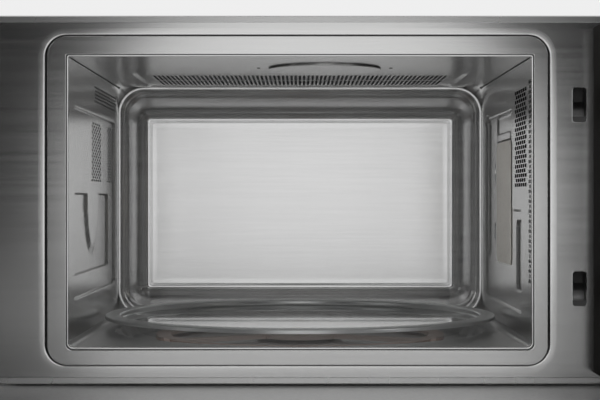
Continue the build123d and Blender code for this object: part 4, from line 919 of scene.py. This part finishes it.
MICA_GRID = (26, 32)
MICA_WAVE = (37.0, 29.0)
MICA_BOW = 0.35


def mica_cover():
    """Thin sheet with snipped corners, a little bowed."""
    ends_y = tuple(end + RECESS_SHIFT for end in span("waveguide_cover", 1))
    ends_z = span("waveguide_cover", 2)
    back = HALF_W + RECESS_DEPTH - 0.4
    rows, columns = MICA_GRID
    y, z = np.meshgrid(np.linspace(*ends_y, rows + 1), np.linspace(*ends_z, columns + 1), indexing="ij")
    wave = np.sin((y - ends_y[0]) / MICA_WAVE[0])
    bow = MICA_BOW * wave * np.cos((z - ends_z[0]) / MICA_WAVE[1]) - MICA_BOW
    points = np.stack((back - SHEET * 0.5 + bow * 0.5, y, z), -1).reshape(-1, 3)
    number = np.arange(points.shape[0]).reshape(y.shape)
    faces = []
    for row in range(rows):
        for column in range(columns):
            if row in (0, rows - 1) and column in (0, columns - 1):
                continue
            square = number[row:row + 2, column:column + 2]
            faces.append((square[0, 0], square[0, 1], square[1, 1], square[1, 0]))
    sheet = thickened(cleaned(mesh_piece("mica_cover", points, faces, "mica")), 0.45)
    fitted(sheet, "mica", "waveguide_cover")


def interlock_lever(node, body):
    """Lever seen through a latch slot: a plain foot with a hollow ramp over it."""
    low = span(node, 2)[0]
    front, back = span(node, 1)
    left, right = grown(span(node, 0), -1.0)
    ramp = [(front + 0.8 + 6.2 * share**2, low + 5.0 + 14.0 * share) for share in np.linspace(0, 1, 9)]
    foot = [(back, low), (front, low), (front, low + 4.2), (front + 0.3, low + 4.8)]
    profile = foot + ramp + [(back, low + 19.5)]
    points = [(x, y, z) for x in (left, right) for y, z in profile]
    bar = mesh_piece(node + "_shown", points, bar_faces(len(profile)), "lever_steel")
    lever = creased(cleaned(bar, outward=True))
    fitted(lever, "white_plastic", node, body=body)


# Door pieces are drawn shut, then swung to where the model rests
DOOR_HINGE = (-292.0, -20.0)
DOOR_TURN = math.radians(-110.0)


def swung(made):
    """Swing a piece drawn on the shut door to the open door."""
    hinge = Vector(to_frame((*DOOR_HINGE, 0.0)))
    turn = Matrix.Rotation(DOOR_TURN, 4, "Z")
    made.data.transform(Matrix.Translation(hinge) @ turn @ Matrix.Translation(-hinge))
    return made


# Repeated pieces, set out by Geometry Nodes from the points of a holder mesh
def set_out(name, points, unit, turn, material):
    """Copies of a small turned unit, given by its profile and steps, at points on a face."""
    piece = turned(name + "_unit", *unit, material)
    piece.data.transform(Matrix.Translation(-MOUTH))
    holder = mesh_piece(name, points, [], material)
    tree = bpy.data.node_groups.new(name + "_layout", "GeometryNodeTree")
    tree.interface.new_socket("Points", in_out="INPUT", socket_type="NodeSocketGeometry")
    turn_input = tree.interface.new_socket("Turn", in_out="INPUT", socket_type="NodeSocketVector")
    tree.interface.new_socket("Pieces", in_out="OUTPUT", socket_type="NodeSocketGeometry")
    given, result = tree.nodes.new("NodeGroupInput"), tree.nodes.new("NodeGroupOutput")
    source = tree.nodes.new("GeometryNodeObjectInfo")
    source.inputs["Object"].default_value = piece
    copies = tree.nodes.new("GeometryNodeInstanceOnPoints")
    whole = tree.nodes.new("GeometryNodeRealizeInstances")
    coat = tree.nodes.new("GeometryNodeSetMaterial")
    coat.inputs["Material"].default_value = FINISHES[material]
    for start, out, end, into in (
        (given, "Points", copies, "Points"),
        (given, "Turn", copies, "Rotation"),
        (source, "Geometry", copies, "Instance"),
        (copies, "Instances", whole, "Geometry"),
        (whole, "Geometry", coat, "Geometry"),
        (coat, "Geometry", result, "Pieces"),
    ):
        tree.links.new(start.outputs[out], end.inputs[into])
    layout = holder.modifiers.new("layout", "NODES")
    layout.node_group = tree
    layout[turn_input.identifier] = turn
    settled(holder)
    bpy.data.objects.remove(piece)
    return holder


TO_FRONT = (QUARTER, 0.0, 0.0)
TO_BACK = (-QUARTER, 0.0, 0.0)
TO_LEFT = (0.0, -QUARTER, 0.0)
TO_RIGHT = (0.0, QUARTER, 0.0)
TO_TOP = (0.0, 0.0, 0.0)
AXIS = (0.0, 0.0)
HEAD = [(0.0, 0.9), (1.3, 0.9), (1.5, 1.7), (2.8, 1.3), (3.8, 0.3), (3.9, 0.0), (0.0, 0.0)]
SCREW = (HEAD, AXIS, 10)
RIVET = ([(0.0, 0.7), (1.3, 0.55), (2.3, 0.15), (2.4, 0.0), (0.0, 0.0)], AXIS, 8)
PERFORATION = ([(0.0, 0.05), (1.5, 0.05), (1.75, 0.0), (0.0, 0.0)], AXIS, 6)
SCREEN_X = (-225.0, 190.0)
SCREEN_Z = (-105.0, 110.0)
SCREEN_INNER_Y = -23.0
HOLE_PITCH = 5.0
ROW_SHARE = 0.866
SCREEN_EDGE = 4.0
RIVET_PITCH = 58.0
RIVET_EDGE = 9.0
RIVET_FRONT = 22.0
TRIM_SCREW_HALF = (335.0, 120.0)


def screen_holes():
    """Close holes of the door's screen, in rows half a pitch along from each other."""
    points = []
    for row, z in enumerate(np.arange(SCREEN_Z[0] + SCREEN_EDGE, SCREEN_Z[1] - 3.0, HOLE_PITCH * ROW_SHARE)):
        start = SCREEN_X[0] + SCREEN_EDGE + (row % 2) * HOLE_PITCH / 2
        points += [(x, SCREEN_INNER_Y, z) for x in np.arange(start, SCREEN_X[1] - SCREEN_EDGE, HOLE_PITCH)]
    holes = swung(set_out("screen_holes", points, PERFORATION, TO_BACK, "screen_hole"))
    fitted(holes, "screen_steel", body="door")


def trim_screws():
    """Four heads that hold the trim frame to the cabinet."""
    x, z, y = span("trim_frame", 0), span("trim_frame", 2), span("trim_frame", 1)[0]
    across, up = TRIM_SCREW_HALF
    points = [(middle(x) + a * across, y, middle(z) + b * up) for a in (-1, 1) for b in (-1, 1)]
    screws = set_out("trim_screws", points, SCREW, TO_FRONT, "screw_zinc")
    fitted(screws, "screw_zinc")


def edge_points(first, second):
    """Evenly spaced places along the four sides of a rectangle."""
    found = []
    for low, high, fixed, across in ((*first, second, False), (*second, first, True)):
        count = round((high - low) / RIVET_PITCH)
        for step in range(count + 1):
            along = low + (high - low) * step / count
            found += [(end, along) if across else (along, end) for end in fixed]
    return sorted(set(found))


def casing_rivets():
    """Rivets along the borders of the casing's sides, top and back."""
    front, rear = span("top_cover", 1)
    deep = (front + RIVET_FRONT, rear - RIVET_EDGE)
    tall, wide = grown(span("rear_panel", 2), -RIVET_EDGE), grown(span("top_cover", 0), -RIVET_EDGE)
    left, right = span("left_side_panel", 0)[0], span("right_side_panel", 0)[1]
    top, back = span("top_cover", 2)[1], span("rear_panel", 1)[1]
    rows = (
        ("left_rivets", [(left, a, b) for a, b in edge_points(deep, tall)], TO_LEFT),
        ("right_rivets", [(right, a, b) for a, b in edge_points(deep, tall)], TO_RIGHT),
        ("top_rivets", [(a, b, top) for a, b in edge_points(wide, deep)], TO_TOP),
        ("back_rivets", [(a, back, b) for a, b in edge_points(wide, tall)], TO_BACK),
    )
    for name, points, turn in rows:
        fitted(set_out(name, points, RIVET, turn, "screw_zinc"), "screw_zinc")


# Marks of the control panel
MARK_HALF = 0.06
MARK_LIFT = 0.04
FIGURE_SHARE = 0.7
KEY_STEP = (22.0, 24.0)
KEY_TOP = 66.0
KEY_LINE = (34.0, 0.15)
KEY_HEIGHT = 7.0
CLOCK_HEIGHT = 13.0
ARROW = [(-3.2, -4.0), (4.2, 0.0), (-3.2, 4.0)]
SQUARE = [(-3.4, -3.4), (3.4, -3.4), (3.4, 3.4), (-3.4, 3.4)]


def lettering(name, text, height, at, material):
    """Raised figures that face the front."""
    curve = bpy.data.curves.new(name, "FONT")
    curve.body = text
    curve.size = height / FIGURE_SHARE
    curve.align_x, curve.align_y = "CENTER", "CENTER"
    curve.extrude = MARK_HALF
    curve.resolution_u = 3
    written = in_scene(name, curve)
    data = coated(final_mesh(written), material)
    bpy.data.objects.remove(written)
    spot = Matrix.Translation(Vector(to_frame(at)))
    data.transform(spot @ Matrix.Rotation(QUARTER, 4, "X") @ Matrix.Scale(MM, 4))
    return cleaned(in_scene(name, data))


def flat_sign(name, rim, at, material):
    """Thin sign from a closed outline of X and Z places."""
    points = [(at[0] + x, at[1] + y, at[2] + z) for y in (-MARK_HALF, MARK_HALF) for x, z in rim]
    return cleaned(mesh_piece(name, points, bar_faces(len(rim)), material), outward=True)


def control_marks():
    x, y = middle(span("control_glass", 0)), span("control_glass", 1)[0] - MARK_LIFT
    wide, thin = KEY_LINE
    line = [(-wide, -thin), (wide, -thin), (wide, thin), (-wide, thin)]
    keys = []
    for index, figure in enumerate("1234567890"):
        row, column = divmod(index, 3) if figure != "0" else (3, 1)
        at = (x + (column - 1) * KEY_STEP[0], y, KEY_TOP - row * KEY_STEP[1])
        keys.append(lettering("key_" + figure, figure, KEY_HEIGHT, at, "legend"))
    for row in range(5):
        z = KEY_TOP + KEY_STEP[1] / 2 - row * KEY_STEP[1]
        keys.append(flat_sign("key_line", line, (x, y, z), "legend"))
    fitted(joined("control_keypad", keys), "white_plastic")
    face = span("display_module", 1)[0] - 0.05
    z = middle(span("display_module", 2))
    clock = lettering("display_figures", "12:30", CLOCK_HEIGHT, (x, face, z), "display_glow")
    fitted(clock, "display")


def button_signs():
    for node, name, rim in (("start_button", "start_sign", ARROW), ("stop_button", "stop_sign", SQUARE)):
        at = (middle(span(node, 0)), span(node, 1)[0] - MARK_LIFT, middle(span(node, 2)))
        fitted(flat_sign(name, rim, at, "legend"), "button", body=node)


left_wall()
right_wall()
ceiling()
floor()
rear_pan()
front_plate()
slot_rims()
flange()
groove_gasket()
glass_tray()
ceiling_cover()
mica_cover()
for end in ("upper", "lower"):
    interlock_lever("interlock_lever_" + end, "lever_" + end)
screen_holes()
trim_screws()
casing_rivets()
control_marks()
button_signs()

# CAD pieces shown with softened edges: node, finish, then body and finish slot where not as usual
SOFTENED = (
    ("roller_ring", "roller_plastic", "roller_ring"),
    *((roller, "roller_plastic", roller) for roller in ("roller_1", "roller_2", "roller_3")),
    ("drive_coupler", "coupler_plastic", "turntable"),
    ("trim_frame", "trim_steel"),
    ("control_housing", "black_plastic"),
    ("control_glass", "dark_glass"),
    ("stop_button", "button", "stop_button"),
    ("start_button", "button", "start_button"),
    ("door_frame", "stainless_front", "door"),
    ("door_outer_glass", "dark_glass", "door"),
    ("door_choke_cover", "black_plastic", "door"),
    ("door_handle", "handle_steel", "door"),
    ("handle_posts", "handle_steel", "door"),
    ("latch_bar", "white_plastic", "latch"),
    ("feet", "foot_rubber"),
    ("mains_gland", "black_plastic"),
    ("left_side_panel", "galvanised"),
    ("right_side_panel", "galvanised"),
    ("top_cover", "galvanised"),
    ("rear_panel", "galvanised"),
    ("interlock_bracket", "grey_plastic", "chassis", "black_plastic"),
)
for row in SOFTENED:
    softened(*row)

# Finishes of the CAD pieces shown as they are
CAD_FINISHES = {
    "galvanised": (
        "base_plate", "hinge_bracket_upper", "hinge_bracket_lower", "capacitor_clamp", "waveguide",
    ),
    "screw_zinc": ("panel_screws", "hinge_pin_upper", "hinge_pin_lower", "latch_spring"),
    "inner_steel": ("magnetron", "turntable_motor", "fan_motor"),
    "core_steel": ("hv_transformer",),
    "can_aluminium": ("hv_capacitor",),
    "black_plastic": ("air_duct", "fan_shroud", "fan_rotor", "interlock_switches"),
    "white_plastic": ("lamp_holder",),
    "lamp_glass": ("lamp_bulb",),
    "board": ("control_board",),
    "display": ("display_module",),
    "screen_steel": ("door_screen",),
    "pane_glass": ("door_inner_window",),
}
for finish_slot, nodes in CAD_FINISHES.items():
    for node in nodes:
        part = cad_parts[node]
        coated(part.data, finish_slot)

# Camera: straight into the cavity, level with its middle
EYE = (0.0, -1310.0, 2.0)
camera = bpy.data.cameras.new("camera")
camera.sensor_width = 36.0
camera.lens = 86.4
eye = in_scene("camera", camera)
eye.location = to_frame(EYE)
eye.rotation_euler = TO_FRONT
bpy.context.scene.camera = eye
bpy.context.scene.view_settings.view_transform = "Standard"


def softbox(name, at, target, size, power):
    lamp = bpy.data.lights.new(name, "AREA")
    lamp.shape = "ELLIPSE"
    lamp.size, lamp.size_y = size[0] * MM, size[1] * MM
    lamp.energy = power
    made = in_scene(name, lamp)
    made.location = to_frame(at)
    aim = Vector(to_frame(target)) - made.location
    made.rotation_euler = aim.to_track_quat("-Z", "Y").to_euler()
    return made


# The front light has a twin that faces away, so the floor is lit alike before and behind it
FRONT_SIZE = (880.0, 880.0)
FRONT_POWER = 1.55
softbox("front_box", (25.0, -1380.0, 10.0), (25.0, 0.0, 10.0), FRONT_SIZE, FRONT_POWER)
behind_box = softbox("behind_box", (25.0, -1381.0, 10.0), (25.0, -2500.0, 10.0), FRONT_SIZE, FRONT_POWER)
behind_box.visible_glossy = False
softbox("front_left_box", (-2000.0, -1150.0, 900.0), (0.0, 0.0, 200.0), (1200.0, 1400.0), 5.0)
softbox("front_right_box", (2000.0, -1150.0, 900.0), (0.0, 0.0, 200.0), (1200.0, 1400.0), 5.0)
softbox("front_top_box", (0.0, -1400.0, 1700.0), (0.0, 0.0, 0.0), (1800.0, 1200.0), 3.0)
softbox("top_box", (0.0, 300.0, 2400.0), (0.0, 300.0, 0.0), (2200.0, 2200.0), 5.0)
softbox("left_box", (-2200.0, 700.0, 900.0), (0.0, 300.0, 0.0), (1200.0, 1200.0), 6.0)
softbox("right_box", (2200.0, 700.0, 900.0), (0.0, 300.0, 0.0), (1200.0, 1200.0), 6.0)
# Faint fill under the cavity's ceiling
cavity_box = softbox("cavity_box", (0.0, 190.0, 126.0), (0.0, 190.0, -100.0), (330.0, 220.0), 0.035)
cavity_box.visible_camera = False
softbox("rear_box", (300.0, 2400.0, 1100.0), (0.0, 300.0, 0.0), (1400.0, 1000.0), 6.0)

# Studio: pale to look at, lit softly from behind and dim in front, where only the front lights shine
studio = bpy.data.worlds.new("studio")
studio.use_nodes = True
sky = Wire(studio.node_tree)
sky.tree.nodes.clear()
way = sky.node("ShaderNodeTexCoord", out="Generated")
behind = sky.node("ShaderNodeSeparateXYZ", {0: way}, out="Y").above(0.02, 0.3)
grey = tint(sky, behind, (0.010, 0.010, 0.010), (0.34, 0.34, 0.34))
lit = sky.node("ShaderNodeBackground", {"Color": grey})
pale = sky.node("ShaderNodeBackground", {"Color": (0.86, 0.86, 0.86, 1.0)})
seen = sky.node("ShaderNodeLightPath", out="Is Camera Ray")
both = sky.node("ShaderNodeMixShader", {0: seen, 1: lit, 2: pale})
sky.node("ShaderNodeOutputWorld", {"Surface": both}, out=None)
bpy.context.scene.world = studio

FLOOR_Z = span("feet", 2)[0]
FLOOR_REACH = 9000.0
corners = [(a * FLOOR_REACH, b * FLOOR_REACH, FLOOR_Z) for a, b in ((-1, -1), (1, -1), (1, 1), (-1, 1))]
ground = mesh_piece("studio_floor", corners, [(0, 1, 2, 3)], "studio_floor")
